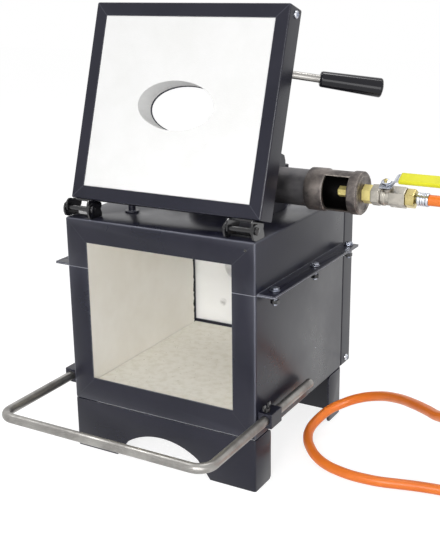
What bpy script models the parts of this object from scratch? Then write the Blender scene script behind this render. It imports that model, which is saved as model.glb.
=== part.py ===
"""A small two-door gas forge with its burner, hose, work rest and door stops.

Metres, +Z up. The front of the forge faces -Y and the burner runs out along +X. Sizes are
written in the forge's own frame: x is 0 at its middle, y is 0 at its front face and z is 0 on
the floor. The last step moves that frame so that the footprint is centred on the origin.
"""

import math

import bmesh
import bpy
from mathutils import Matrix, Vector

# Clearances and facets
GAP = 0.0003
SLIDING_GAP = 0.00065
OVERRUN = 0.02
ROUND_STEPS = 32
SMALL_STEPS = 16
DOME_STEPS = 3
FOLD_SEGMENTS = 2
CORNER_SEGMENTS = 4
ALONG_SHARE = 0.5
MERGE = 0.0001

# Casing
BODY_WIDTH = 0.290
BODY_DEPTH = 0.2784
BODY_HEIGHT = 0.2653
LEG_HEIGHT = 0.0740
SHEET = 0.0015
UPPER_HEIGHT = 0.0685
SIDE_RAIL = 0.0335
TOP_RAIL = 0.0325
BOTTOM_RAIL = 0.0364
CASING_ROUND = 0.0030
FLANGE_WIDTH = 0.0245
FLANGE_SET_IN = 0.0045

# Bolts through the flanges
BOLT_DIAMETER = 0.0060
BOLT_HOLE = 0.0068
BOLT_FLATS = 0.0100
BOLT_HEAD = 0.0030
BOLT_WASHER = 0.0135
BOLT_WASHER_THICKNESS = 0.0010
BOLT_NUT = 0.0050
BOLT_NUT_DROP = 0.0083
BOLT_TAIL = 0.0025
BOLT_OUT = 0.0130
BOLT_DEPTH_SHARES = (0.10, 0.53, 0.95)

# Legs
LEG_PLATE = 0.0030
LEG_RETURN = 0.0440
LEG_ROUND = 0.0060
ARCH_FOOT = 0.0760
ARCH_KNEE = 0.0570
ARCH_KNEE_HEIGHT = 0.0250
ARCH_TOP = 0.0430
ARCH_STEPS = 16

# Refractory lining
WALL_THICKNESS = 0.0312
HEARTH_THICKNESS = 0.0302

# Doors
DOOR_SET_IN = 0.00075
DOOR_THICKNESS = 0.0339
DOOR_LIP = 0.0180
DOOR_STANDOFF = 0.0015
DOOR_ROUND = 0.0025
PEEP_WIDTH = 0.1140
PEEP_HEIGHT = 0.0640
PEEP_STEEL_EDGE = 0.0010
PEEP_STEPS = 48
DOOR_OPEN_ANGLE = math.radians(197.8)

# Hinges
PIN_BEHIND_FACE = 0.0046
PIN_ABOVE_ROOF = 0.0131
PIN_DIAMETER = 0.0070
PIN_HEAD = 0.0100
PIN_HEAD_LENGTH = 0.0034
PIN_HEAD_RIM = 0.0012
PIN_BORE = 0.0078
HINGE_SET_IN = 0.0010
HINGE_LENGTH = 0.0420
HINGE_PLATE = 0.0025
BRACKET_FRONT = 0.0080
BRACKET_REAR = 0.0214
BRACKET_TOP = 0.0080
BRACKET_FOOT = 0.0120
BRACKET_ROUND = 0.0160
LEAF_FRONT = 0.0240
LEAF_REAR = 0.0065
LEAF_ROUND = 0.0130
LEAF_BEND_SHARE = 0.2500
EAR_ROUND_SHARE = 0.5000

# Door handle and the screw in the door's side
HANDLE_SET_IN = 0.0483
HANDLE_FROM_FREE_EDGE = 0.0756
HANDLE_ANGLE = math.radians(31.0)
HANDLE_ROD = 0.0100
GRIP_START = 0.0766
GRIP_LENGTH = 0.0814
GRIP_NEAR_DIAMETER = 0.0200
GRIP_FAR_DIAMETER = 0.0245
GRIP_RIM = 0.0030
GRIP_EASE = 0.0015
GRIP_CROWN = 0.0015
GRIP_BORE_DEPTH = 0.0300
SIDE_SCREW_SET_IN = 0.0099
SIDE_SCREW_DIAMETER = 0.0100
SIDE_SCREW_LENGTH = 0.0035
SIDE_SCREW_RIM = 0.0010
SIDE_SCREW_SHANK = 0.0040
SIDE_SCREW_HOLE = 0.0048

# Door stops
STOP_SET_IN = 0.0650
STOP_BACK = 0.0650
STOP_DIAMETER = 0.0100
STOP_FOOT = 0.0200
STOP_FOOT_THICKNESS = 0.0020

# Work rest
REST_ROD = 0.0127
REST_ABOVE_BOTTOM = 0.0294
REST_REACH = 0.1430
REST_TAIL = 0.1420
REST_BEND = 0.0200
REST_BEND_STEPS = 6
REST_RESOLUTION = 3
SLEEVE_SIZE = 0.0200
SLEEVE_LENGTH = 0.0300
SLEEVE_SET_IN = 0.0050
SLEEVE_ROUND = 0.0010

# Wing screw that clamps the work rest
WING_BACK = 0.0110
WING_SHANK = 0.0050
WING_HOLE = 0.0058
WING_BOSS = 0.0080
WING_BOSS_HEIGHT = 0.0060
WING_SPAN = 0.0190
WING_HEIGHT = 0.0120
WING_LIFT = 0.0010
WING_THICKNESS = 0.0025
WING_OUTLINE_SHARES = (
    (-0.35, 0.00), (-0.85, 0.25), (-1.00, 0.60), (-0.92, 0.90), (-0.70, 1.00), (-0.48, 0.85),
    (-0.25, 0.45), (0.25, 0.45), (0.48, 0.85), (0.70, 1.00), (0.92, 0.90), (1.00, 0.60),
    (0.85, 0.25), (0.35, 0.00),
)

# Burner
PIPE_DIAMETER = 0.0483
PIPE_WALL = 0.0032
ELBOW_DIAMETER = 0.0580
ELBOW_REACH = 0.0380
ELBOW_BEND = 0.0300
ELBOW_SPIGOT = 0.0069
ELBOW_STEPS = 8
ELBOW_RESOLUTION = 6
NOZZLE_SHORT_OF_ROOF = 0.0020
NOZZLE_SEAT = 0.0040
MIXER_LENGTH = 0.1197
HOLDER_START = 0.0960
HOLDER_PLATE = 0.0040
HOLDER_WIDTH = 0.0700
HOLDER_ABOVE_AXIS = 0.0375
HOLDER_ROUND = 0.0120
BELL_LAP = 0.0040
BELL_CONE = 0.0105
BELL_COLLAR = 0.0155
BELL_WINDOW = 0.0335
BELL_RIM = 0.0145
BELL_START_DIAMETER = 0.0515
BELL_COLLAR_DIAMETER = 0.0560
BELL_WAIST_DIAMETER = 0.0530
BELL_BORE = 0.0460
BELL_WINDOW_HEIGHT = 0.0440
BELL_RIM_ROUND = 0.0020
END_PLATE = 0.0040
JET_DIAMETER = 0.0100
JET_REACH = 0.0350
JET_BORE = 0.0015
JET_BORE_DEPTH = 0.0050
JET_FLATS = 0.0215
JET_HEX_LENGTH = 0.0117

# Ball valve and its lever
VALVE_FLATS = 0.0240
VALVE_INLET_HEX = 0.0107
VALVE_BARREL = 0.0130
VALVE_OUTLET_HEX = 0.0210
VALVE_BALL_DIAMETER = 0.0255
VALVE_LEAN = math.radians(30.0)
VALVE_BOSS_DIAMETER = 0.0150
VALVE_BOSS_OUT = 0.0100
VALVE_BOSS_TOP = 0.0160
STEM_DIAMETER = 0.0080
STEM_DEPTH = 0.0040
STEM_SHOULDER = 0.0172
STEM_THREAD = 0.0050
STEM_TOP = 0.0272
LEVER_THICKNESS = 0.0020
LEVER_WIDTH = 0.0140
LEVER_TAIL = 0.0085
LEVER_CRANK_START = 0.0080
LEVER_CRANK_RUN = 0.0075
LEVER_LIFT = 0.0130
LEVER_GRIPPED = 0.0710
LEVER_BEND = 0.0025
LEVER_NUT_FLATS = 0.0105
LEVER_NUT_HEIGHT = 0.0050
GRIP_SLEEVE_OUT = 0.0035
GRIP_SLEEVE_TIP = 0.0050
GRIP_SLEEVE_WIDTH = 0.0205
GRIP_SLEEVE_THICKNESS = 0.0062
GRIP_SLEEVE_ROUND = 0.0015

# Hose fittings
NIPPLE_FLATS = 0.0215
NIPPLE_LENGTH = 0.0113
FERRULE_DIAMETER = 0.0174
FERRULE_NECK = 0.0110
FERRULE_NECK_LENGTH = 0.0030
FERRULE_LENGTH = 0.0166
FERRULE_GROOVE = 0.0009
FERRULE_GROOVE_SHARES = (0.30, 0.62)
FERRULE_GROOVE_WIDTH = 0.0020
COUPLING_FLATS = 0.0190
COUPLING_HEX_LENGTH = 0.0140
COUPLING_FERRULE_LENGTH = 0.0170
COUPLING_CONE_LENGTH = 0.0060
COUPLING_CONE_DIAMETER = 0.0110

# Hose route, in the forge's frame
HOSE_DIAMETER = 0.0140
HOSE_RESOLUTION = 2
COIL_RESOLUTION = 1
HOSE_ROUTE = (
    (0.3138, 0.1392, 0.3805), (0.3290, 0.1392, 0.3805), (0.3500, 0.1388, 0.3800),
    (0.3760, 0.1365, 0.3770), (0.4030, 0.1315, 0.3695), (0.4270, 0.1245, 0.3565),
    (0.4470, 0.1155, 0.3385), (0.4620, 0.1050, 0.3165), (0.4715, 0.0935, 0.2915),
    (0.4755, 0.0820, 0.2650), (0.4740, 0.0710, 0.2380), (0.4670, 0.0615, 0.2110),
    (0.4540, 0.0560, 0.1860), (0.4340, 0.0565, 0.1635), (0.4110, 0.0660, 0.1450),
    (0.3840, 0.0850, 0.1275), (0.3500, 0.1120, 0.1090), (0.3260, 0.1380, 0.1010),
    (0.3010, 0.1640, 0.0930), (0.2630, 0.1990, 0.0800), (0.2250, 0.2210, 0.0660),
    (0.1940, 0.2240, 0.0540), (0.1750, 0.2180, 0.0450), (0.1600, 0.2060, 0.0370),
    (0.1500, 0.1860, 0.0280), (0.1470, 0.1650, 0.0210), (0.1530, 0.1440, 0.0160),
    (0.1660, 0.1250, 0.0130), (0.1810, 0.1110, 0.0100), (0.2020, 0.0990, 0.0080),
    (0.2240, 0.0930, 0.0072), (0.2430, 0.0900, 0.0072), (0.2590, 0.0900, 0.0072),
    (0.2800, 0.0920, 0.0072), (0.3040, 0.0980, 0.0072), (0.3300, 0.1045, 0.0072),
    (0.3600, 0.1095, 0.0072), (0.3920, 0.1117, 0.0072), (0.4220, 0.1120, 0.0072),
)

# Hose coil: in on the floor, up a layer, out again and down beside the coil
COIL_LEAD = 0.0180
COIL_RADIUS = 0.0885
COIL_PITCH = 0.0170
COIL_CLIMB = 0.0147
COIL_INWARD_TURNS = 1.25
COIL_REVERSE_TURNS = 0.50
COIL_OUTWARD_TURNS = 1.25
COIL_TAIL_TURNS = 0.375
COIL_TAIL_OUT = 0.0200
COIL_TAIL_OUT_SHARE = 0.70
COIL_TAIL_DROP_SHARE = 0.35
COIL_POINTS_PER_TURN = 24
COIL_CHECK_STEPS = 4
COIL_CHECK_SKIP = 4

# Places that follow from the sizes above
HALF_WIDTH = BODY_WIDTH / 2
ROOF = LEG_HEIGHT + BODY_HEIGHT
SPLIT = ROOF - UPPER_HEIGHT
OPENING_SIDE = HALF_WIDTH - SIDE_RAIL
OPENING_BOTTOM = LEG_HEIGHT + BOTTOM_RAIL
OPENING_TOP = ROOF - TOP_RAIL
MIDDLE_DEPTH = BODY_DEPTH / 2
PIN_HEIGHT = ROOF + PIN_ABOVE_ROOF
LINING_PLANE = -(PIN_BEHIND_FACE + DOOR_STANDOFF)
OUTER_PLANE = LINING_PLANE - DOOR_THICKNESS
DOOR_HINGE_EDGE = -PIN_ABOVE_ROOF
DOOR_FREE_EDGE = DOOR_HINGE_EDGE - BODY_HEIGHT
DOOR_HALF_WIDTH = HALF_WIDTH - DOOR_SET_IN
HINGE_OUTER = HALF_WIDTH - HINGE_SET_IN
HINGE_INNER = HINGE_OUTER - HINGE_LENGTH
STOP_SIDE = HALF_WIDTH - STOP_SET_IN
SLEEVE_SIDE = HALF_WIDTH + GAP + SLEEVE_SIZE / 2
REST_HEIGHT = LEG_HEIGHT + REST_ABOVE_BOTTOM
ELBOW_BOTTOM = ROOF + GAP + NOZZLE_SEAT
BURNER_HEIGHT = ELBOW_BOTTOM + ELBOW_SPIGOT + ELBOW_BEND
BURNER_AXIS = (MIDDLE_DEPTH, BURNER_HEIGHT)
MIXER_START = ELBOW_REACH + GAP
MIXER_END = MIXER_START + MIXER_LENGTH
BELL_START = MIXER_END - BELL_LAP
BELL_END = BELL_START + BELL_CONE + BELL_COLLAR + BELL_WINDOW + BELL_RIM
JET_START = BELL_END - JET_REACH
JET_HEX_START = BELL_END + GAP
VALVE_START = JET_HEX_START + JET_HEX_LENGTH + GAP
VALVE_BARREL_START = VALVE_START + VALVE_INLET_HEX
VALVE_BARREL_END = VALVE_BARREL_START + VALVE_BARREL
VALVE_END = VALVE_BARREL_END + VALVE_OUTLET_HEX
NIPPLE_START = VALVE_END + GAP
FERRULE_START = NIPPLE_START + NIPPLE_LENGTH + GAP
LEVER_BOTTOM = STEM_SHOULDER + GAP
LEVER_CRANK_END = LEVER_CRANK_START + LEVER_CRANK_RUN
GRIP_SLEEVE_START = LEVER_CRANK_END + GRIP_SLEEVE_OUT
LEVER_END = GRIP_SLEEVE_START + LEVER_GRIPPED
HOSE_PIECES = ("gas_hose", "hose_coil", "hose_end_fitting")

# Finishes: colour, roughness and metallic value
BLACK_COAT = ((0.018, 0.019, 0.022), 0.34, 0.0)
BLACK_HARDWARE = ((0.015, 0.015, 0.017), 0.30, 0.4)
BARE_ROD = ((0.33, 0.31, 0.28), 0.38, 1.0)
WALL_BOARD = ((0.74, 0.71, 0.62), 0.90, 0.0)
FLOOR_BOARD = ((0.72, 0.68, 0.52), 0.92, 0.0)
WHITE_BOARD = ((0.86, 0.86, 0.84), 0.88, 0.0)
MILL_SCALE = ((0.085, 0.078, 0.072), 0.50, 0.8)
HEATED_STEEL = ((0.22, 0.18, 0.14), 0.42, 0.9)
BRASS = ((0.72, 0.53, 0.20), 0.28, 1.0)
NICKEL = ((0.62, 0.59, 0.53), 0.28, 1.0)
ZINC = ((0.60, 0.62, 0.66), 0.30, 1.0)
BLACK_PLASTIC = ((0.012, 0.012, 0.013), 0.12, 0.0)
YELLOW_PLASTIC = ((0.90, 0.80, 0.03), 0.35, 0.0)
ORANGE_RUBBER = ((0.85, 0.22, 0.03), 0.42, 0.0)


def clear_scene() -> None:
    """Remove whatever the file holds."""
    for thing in list(bpy.data.objects):
        bpy.data.objects.remove(thing, do_unlink=True)


def make_collection(name: str, hidden: bool = False) -> bpy.types.Collection:
    """Return a new collection under the scene's own."""
    group = bpy.data.collections.new(name)
    group.hide_render = hidden
    bpy.context.scene.collection.children.link(group)
    return group


def make_empty(name: str, place: Vector, turn: tuple, parent=None) -> bpy.types.Object:
    """Return an empty that carries pieces; turn is its Euler rotation."""
    empty = bpy.data.objects.new(name, None)
    empty.location = place
    empty.rotation_euler = turn
    empty.parent = parent
    PIECES.objects.link(empty)
    return empty


def add_piece(name: str, data, finish: tuple, parent) -> bpy.types.Object:
    """Put a mesh or curve in the scene as a finished piece, or as a cutter without a finish."""
    piece = bpy.data.objects.new(name, data)
    piece.parent = parent
    if finish is None:
        CUTTERS.objects.link(piece)
        piece.hide_render = True
        piece.display_type = "WIRE"
        return piece
    colour, roughness, metallic = finish
    look = bpy.data.materials.new(name)
    look.use_nodes = True
    shader = look.node_tree.nodes["Principled BSDF"]
    shader.inputs["Base Color"].default_value = (*colour, 1.0)
    shader.inputs["Roughness"].default_value = roughness
    shader.inputs["Metallic"].default_value = metallic
    look.diffuse_color = (*colour, 1.0)
    data.materials.append(look)
    PIECES.objects.link(piece)
    return piece


def to_mesh(name: str, shape: bmesh.types.BMesh) -> bpy.types.Mesh:
    """Write a bmesh to a new mesh and free it."""
    mesh = bpy.data.meshes.new(name)
    shape.to_mesh(mesh)
    shape.free()
    return mesh


def block(name: str, low: tuple, high: tuple, finish, parent) -> bpy.types.Object:
    """Return a box between two corners."""
    low, high = Vector(low), Vector(high)
    shape = bmesh.new()
    bmesh.ops.create_cube(shape, size=1.0)
    bmesh.ops.scale(shape, vec=high - low, verts=shape.verts)
    bmesh.ops.translate(shape, vec=(low + high) / 2, verts=shape.verts)
    return add_piece(name, to_mesh(name, shape), finish, parent)


def bar(name: str, start: tuple, end: tuple, radius: float, finish, parent,
        sides: int = SMALL_STEPS, turn: float = 0.0) -> bpy.types.Object:
    """Return a straight round or many-sided bar between two points."""
    start, end = Vector(start), Vector(end)
    along = (end - start).to_track_quat("Z", "Y").to_matrix().to_4x4()
    place = Matrix.Translation((start + end) / 2) @ along @ Matrix.Rotation(turn, 4, "Z")
    shape = bmesh.new()
    bmesh.ops.create_cone(shape, cap_ends=True, segments=sides, radius1=radius, radius2=radius,
                          depth=(end - start).length, matrix=place)
    return add_piece(name, to_mesh(name, shape), finish, parent)


def hex_radius(flats: float) -> float:
    """Return the corner radius of a hexagon from its width across flats."""
    return flats / math.sqrt(3.0)


def turned(name: str, profile: list, place: tuple, along: tuple, finish, parent,
           steps: int = ROUND_STEPS) -> bpy.types.Object:
    """Return a turned piece; the profile is (radius, distance along the axis) pairs."""
    shape = bmesh.new()
    corners = [shape.verts.new((radius, 0.0, height)) for radius, height in profile]
    for first, second in zip(corners, corners[1:]):
        shape.edges.new((first, second))
    piece = add_piece(name, to_mesh(name, shape), finish, parent)
    piece.location = place
    piece.rotation_mode = "QUATERNION"
    piece.rotation_quaternion = Vector(along).to_track_quat("Z", "Y")
    screw = piece.modifiers.new("turn", "SCREW")
    screw.axis = "Z"
    screw.steps = steps
    screw.render_steps = steps
    screw.use_merge_vertices = True
    screw.merge_threshold = MERGE
    screw.use_smooth_shade = True
    return piece


def rod_curve(name: str, points: list, radius: float, resolution: int) -> bpy.types.Curve:
    """Return a round rod along points, as a curve with filled caps."""
    curve = bpy.data.curves.new(name, "CURVE")
    curve.dimensions = "3D"
    curve.bevel_depth = radius
    curve.bevel_resolution = resolution
    curve.use_fill_caps = True
    spline = curve.splines.new("POLY")
    spline.points.add(len(points) - 1)
    for point, place in zip(spline.points, points):
        point.co = (*place, 1.0)
    spline.use_smooth = True
    return curve


def flat_plate(name: str, outline: list, thickness: float, turn: Matrix) -> bpy.types.Mesh:
    """Return the mesh of a flat outline with a thickness, turned by a matrix."""
    curve = bpy.data.curves.new(name, "CURVE")
    curve.dimensions = "2D"
    curve.fill_mode = "BOTH"
    curve.extrude = thickness / 2
    spline = curve.splines.new("POLY")
    spline.points.add(len(outline) - 1)
    for point, (across, up) in zip(spline.points, outline):
        point.co = (across, up, 0.0, 1.0)
    spline.use_cyclic_u = True
    return meshed(curve, turn)


def meshed(curve: bpy.types.Curve, turn: Matrix) -> bpy.types.Mesh:
    """Return a curve's evaluated shape as a welded mesh, and remove the curve."""
    holder = bpy.data.objects.new(curve.name, curve)
    bpy.context.scene.collection.objects.link(holder)
    graph = bpy.context.evaluated_depsgraph_get()
    mesh = bpy.data.meshes.new_from_object(holder.evaluated_get(graph))
    shape = bmesh.new()
    shape.from_mesh(mesh)
    bmesh.ops.remove_doubles(shape, verts=shape.verts, dist=MERGE)
    bmesh.ops.transform(shape, matrix=turn, verts=shape.verts)
    bmesh.ops.recalc_face_normals(shape, faces=shape.faces)
    shape.to_mesh(mesh)
    shape.free()
    bpy.data.objects.remove(holder, do_unlink=True)
    bpy.data.curves.remove(curve)
    return mesh


def combine(piece: bpy.types.Object, other: bpy.types.Object, operation: str) -> None:
    """Join a shape to a piece, or cut it out, with a Boolean modifier."""
    boolean = piece.modifiers.new(operation.lower(), "BOOLEAN")
    boolean.operation = operation
    boolean.solver = "EXACT"
    boolean.object = other


def cut(piece: bpy.types.Object, other: bpy.types.Object) -> None:
    """Cut a shape out of a piece."""
    combine(piece, other, "DIFFERENCE")


def join(piece: bpy.types.Object, other: bpy.types.Object) -> None:
    """Join a shape to a piece."""
    combine(piece, other, "UNION")


def round_edges(piece: bpy.types.Object, width: float, weigh) -> None:
    """Bevel the edges that weigh(middle, direction) gives a weight above 0."""
    shape = bmesh.new()
    shape.from_mesh(piece.data)
    weights = shape.edges.layers.float.new("bevel_weight_edge")
    for edge in shape.edges:
        first, second = edge.verts
        edge[weights] = weigh((first.co + second.co) / 2, (second.co - first.co).normalized())
    shape.to_mesh(piece.data)
    shape.free()
    bevel = piece.modifiers.new("round", "BEVEL")
    bevel.limit_method = "WEIGHT"
    bevel.width = width
    bevel.segments = FOLD_SEGMENTS


def every_edge(_middle: Vector, _direction: Vector) -> float:
    """Weigh all edges alike."""
    return 1.0


def runs_along(axis: str, direction: Vector) -> bool:
    """Tell whether a direction runs mostly along an axis."""
    return abs(getattr(direction, axis)) > ALONG_SHARE


def dome(radius: float, low: float, high: float) -> list:
    """Return the profile of a domed head, from its crown to its rim."""
    turns = [math.pi / 2 * step / DOME_STEPS for step in range(DOME_STEPS + 1)]
    return [(radius * math.sin(turn), low + (high - low) * math.cos(turn)) for turn in turns]


def arc(centre: tuple, radius: float, start: float, end: float, steps: int) -> list:
    """Return points of an arc in a plane, ends included."""
    turns = [start + (end - start) * step / steps for step in range(steps + 1)]
    return [(centre[0] + radius * math.cos(turn), centre[1] + radius * math.sin(turn))
            for turn in turns]


def bolt_places() -> list:
    """Return the x and y of each bolt of the two side flanges."""
    return [(side * (HALF_WIDTH + BOLT_OUT), share * BODY_DEPTH)
            for side in (-1, 1) for share in BOLT_DEPTH_SHARES]


def build_shell(name: str, bottom: float, top: float, wall_open: str, base) -> bpy.types.Object:
    """Build one half of the casing: five sheets round the lining and a flange at each side."""
    shell = block(name, (-HALF_WIDTH, 0.0, bottom), (HALF_WIDTH, BODY_DEPTH, top),
                  BLACK_COAT, base)
    shut_edge = bottom if wall_open == "top" else top
    round_edges(shell, CASING_ROUND, lambda middle, direction: float(
        runs_along("z", direction) or abs(middle.z - shut_edge) < MERGE))
    flange_bottom = top - SHEET if wall_open == "top" else bottom
    for side in (-1, 1):
        across = sorted((side * (HALF_WIDTH - SHEET / 2), side * (HALF_WIDTH + FLANGE_WIDTH)))
        join(shell, block(
            f"{name}_flange_{'left' if side < 0 else 'right'}",
            (across[0], FLANGE_SET_IN, flange_bottom),
            (across[1], BODY_DEPTH - FLANGE_SET_IN, flange_bottom + SHEET), None, base))
    inner_bottom = bottom + SHEET if wall_open == "top" else bottom - OVERRUN
    inner_top = top + OVERRUN if wall_open == "top" else top - SHEET
    cut(shell, block(f"{name}_inside", (SHEET - HALF_WIDTH, SHEET, inner_bottom),
                     (HALF_WIDTH - SHEET, BODY_DEPTH - SHEET, inner_top), None, base))
    low = OPENING_BOTTOM if wall_open == "top" else bottom - OVERRUN
    high = top + OVERRUN if wall_open == "top" else OPENING_TOP
    cut(shell, block(f"{name}_doorway", (-OPENING_SIDE, -OVERRUN, low),
                     (OPENING_SIDE, BODY_DEPTH + OVERRUN, high), None, base))
    for index, (across, back) in enumerate(bolt_places()):
        cut(shell, bar(f"{name}_bolt_hole_{index}", (across, back, flange_bottom - SHEET),
                       (across, back, flange_bottom + 2 * SHEET), BOLT_HOLE / 2, None, base))
    return shell


def build_bolt(name: str, across: float, back: float, base) -> None:
    """Build one flange bolt with its washer and a nut that hangs low on its shank."""
    washer_bottom = SPLIT + GAP / 2 + SHEET + GAP
    head_bottom = washer_bottom + BOLT_WASHER_THICKNESS
    nut_top = SPLIT - GAP / 2 - SHEET - BOLT_NUT_DROP
    nut_bottom = nut_top - BOLT_NUT
    bolt = bar(name, (across, back, nut_bottom - BOLT_TAIL),
               (across, back, head_bottom + BOLT_HEAD / 2), BOLT_DIAMETER / 2, ZINC, base)
    join(bolt, bar(f"{name}_washer", (across, back, washer_bottom),
                   (across, back, head_bottom), BOLT_WASHER / 2, None, base))
    for part, low, high in (("head", head_bottom - BOLT_WASHER_THICKNESS / 2,
                             head_bottom + BOLT_HEAD), ("nut", nut_bottom, nut_top)):
        join(bolt, bar(f"{name}_{part}", (across, back, low), (across, back, high),
                       hex_radius(BOLT_FLATS), None, base, sides=6))


def arch_outline() -> list:
    """Return the outline of the arch cut out of a leg plate."""
    rise = ARCH_TOP - ARCH_KNEE_HEIGHT
    radius = (ARCH_KNEE ** 2 + rise ** 2) / (2 * rise)
    half_angle = math.asin(ARCH_KNEE / radius)
    curve = arc((0.0, ARCH_TOP - radius), radius, math.pi / 2 - half_angle,
                math.pi / 2 + half_angle, ARCH_STEPS)
    slope = (ARCH_FOOT - ARCH_KNEE) / ARCH_KNEE_HEIGHT
    foot = ARCH_FOOT + slope * OVERRUN
    return [(foot, -OVERRUN), *curve, (-foot, -OVERRUN)]


def build_leg(name: str, front: float, inward: int, base) -> None:
    """Build one leg: a folded plate across the whole width with an arch in it."""
    back = front + inward * LEG_RETURN
    shape = bmesh.new()
    bmesh.ops.create_cube(shape, size=1.0)
    bmesh.ops.scale(shape, vec=(BODY_WIDTH, LEG_RETURN, LEG_HEIGHT - GAP), verts=shape.verts)
    bmesh.ops.translate(shape, vec=(0.0, (front + back) / 2, (LEG_HEIGHT - GAP) / 2),
                        verts=shape.verts)
    shape.faces.ensure_lookup_table()
    unwanted = [face for face in shape.faces if runs_along("z", face.normal)
                or face.normal.y * inward > ALONG_SHARE]
    bmesh.ops.delete(shape, geom=unwanted, context="FACES")
    free = [corner for corner in shape.verts if abs(corner.co.y - back) < MERGE]
    bmesh.ops.bevel(shape, geom=free, offset=LEG_ROUND, segments=CORNER_SEGMENTS, profile=0.5,
                    affect="VERTICES")
    leg = add_piece(name, to_mesh(name, shape), BLACK_COAT, base)
    round_edges(leg, CASING_ROUND, lambda middle, direction: float(
        runs_along("z", direction) and abs(middle.y - front) < MERGE))
    sheet = leg.modifiers.new("plate", "SOLIDIFY")
    sheet.thickness = LEG_PLATE
    sheet.offset = -1.0
    sheet.use_even_offset = True
    upright = Matrix.Translation((0.0, front, 0.0)) @ Matrix.Rotation(math.pi / 2, 4, "X")
    arch = flat_plate(f"{name}_arch", arch_outline(), 2 * OVERRUN, upright)
    cut(leg, add_piece(f"{name}_arch", arch, None, base))


def build_linings(base) -> None:
    """Build the hearth, the side walls and the roof of the firing chamber."""
    front, back = SHEET + GAP, BODY_DEPTH - SHEET - GAP
    bottom, top = LEG_HEIGHT + SHEET + GAP, ROOF - SHEET - GAP
    outer = HALF_WIDTH - SHEET - GAP
    inner = outer - WALL_THICKNESS
    between = inner - GAP
    block("hearth_floor", (-between, front, bottom),
          (between, back, bottom + HEARTH_THICKNESS), FLOOR_BOARD, base)
    block("left_lining", (-outer, front, bottom), (-inner, back, top), WALL_BOARD, base)
    block("right_lining", (inner, front, bottom), (outer, back, top), WALL_BOARD, base)
    roof = block("roof_lining", (-between, front, OPENING_TOP), (between, back, top),
                 WALL_BOARD, base)
    for piece_name, piece in (("roof_lining", roof),
                              ("upper_shell", bpy.data.objects["upper_shell"])):
        cut(piece, bar(f"{piece_name}_burner_hole",
                       (0.0, MIDDLE_DEPTH, OPENING_TOP - OVERRUN),
                       (0.0, MIDDLE_DEPTH, ROOF + OVERRUN), PIPE_DIAMETER / 2 + GAP,
                       None, base, sides=ROUND_STEPS))


def build_bracket(name: str, side: int, empty) -> None:
    """Build the hinge bracket on the roof; its empty lies on the hinge's axis."""
    near, far = sorted((side * HINGE_INNER, side * HINGE_OUTER))
    foot = GAP - PIN_ABOVE_ROOF
    bracket = block(name, (near, -BRACKET_FRONT, foot), (far, BRACKET_REAR, BRACKET_TOP),
                    BLACK_HARDWARE, empty)

    def weigh(middle: Vector, direction: Vector) -> float:
        """Round the ears about the pin at their front, and slope their upper rear corner."""
        if not runs_along("x", direction) or (middle.y > 0.0 > middle.z):
            return 0.0
        return 1.0 if middle.y > 0.0 else EAR_ROUND_SHARE

    round_edges(bracket, BRACKET_ROUND, weigh)
    cut(bracket, block(f"{name}_between", (near + HINGE_PLATE, -OVERRUN, foot + HINGE_PLATE),
                       (far - HINGE_PLATE, 2 * OVERRUN, OVERRUN), None, empty))
    cut(bracket, block(f"{name}_front", (near + HINGE_PLATE, -OVERRUN, -OVERRUN),
                       (far - HINGE_PLATE, BRACKET_REAR - BRACKET_FOOT, OVERRUN), None, empty))
    cut(bracket, bar(f"{name}_bore", (near - OVERRUN, 0.0, 0.0), (far + OVERRUN, 0.0, 0.0),
                     PIN_BORE / 2, None, empty))


def build_pin(name: str, side: int, empty) -> None:
    """Build a hinge pin with a domed head at each end."""
    radius, head = PIN_DIAMETER / 2, PIN_HEAD / 2
    half = HINGE_LENGTH / 2 + GAP
    upper = [*dome(head, half + PIN_HEAD_RIM, half + PIN_HEAD_LENGTH), (head, half),
             (radius, half)]
    lower = [(across, -along) for across, along in reversed(upper)]
    turned(name, upper + lower, (side * (HINGE_INNER + HINGE_OUTER) / 2, 0.0, 0.0),
           (1.0, 0.0, 0.0), BLACK_HARDWARE, empty, steps=SMALL_STEPS)


def build_leaf(name: str, side: int, door) -> None:
    """Build the hinge leaf: a strap on the door's edge with an ear at each end."""
    shoulder = HINGE_PLATE + GAP
    near, far = sorted((side * (HINGE_INNER + shoulder), side * (HINGE_OUTER - shoulder)))
    bottom = DOOR_HINGE_EDGE + GAP
    leaf = block(name, (near, -LEAF_FRONT, bottom), (far, LEAF_REAR, LEAF_REAR),
                 BLACK_HARDWARE, door)

    def weigh(middle: Vector, direction: Vector) -> float:
        """Round the ears about the pin and the two bends of the strap."""
        if runs_along("x", direction):
            if middle.z > 0.0:
                return 1.0 if middle.y < 0.0 else EAR_ROUND_SHARE
            return 0.0 if middle.y < 0.0 else EAR_ROUND_SHARE
        return LEAF_BEND_SHARE if runs_along("y", direction) and middle.z < 0.0 else 0.0

    round_edges(leaf, LEAF_ROUND, weigh)
    cut(leaf, block(f"{name}_between", (near + HINGE_PLATE, -2 * OVERRUN, bottom + HINGE_PLATE),
                    (far - HINGE_PLATE, OVERRUN, OVERRUN), None, door))
    cut(leaf, block(f"{name}_web_end", (near + HINGE_PLATE, LINING_PLANE + HINGE_PLATE, -OVERRUN),
                    (far - HINGE_PLATE, OVERRUN, OVERRUN), None, door))
    cut(leaf, bar(f"{name}_bore", (near - OVERRUN, 0.0, 0.0), (far + OVERRUN, 0.0, 0.0),
                  PIN_BORE / 2, None, door))


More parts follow.
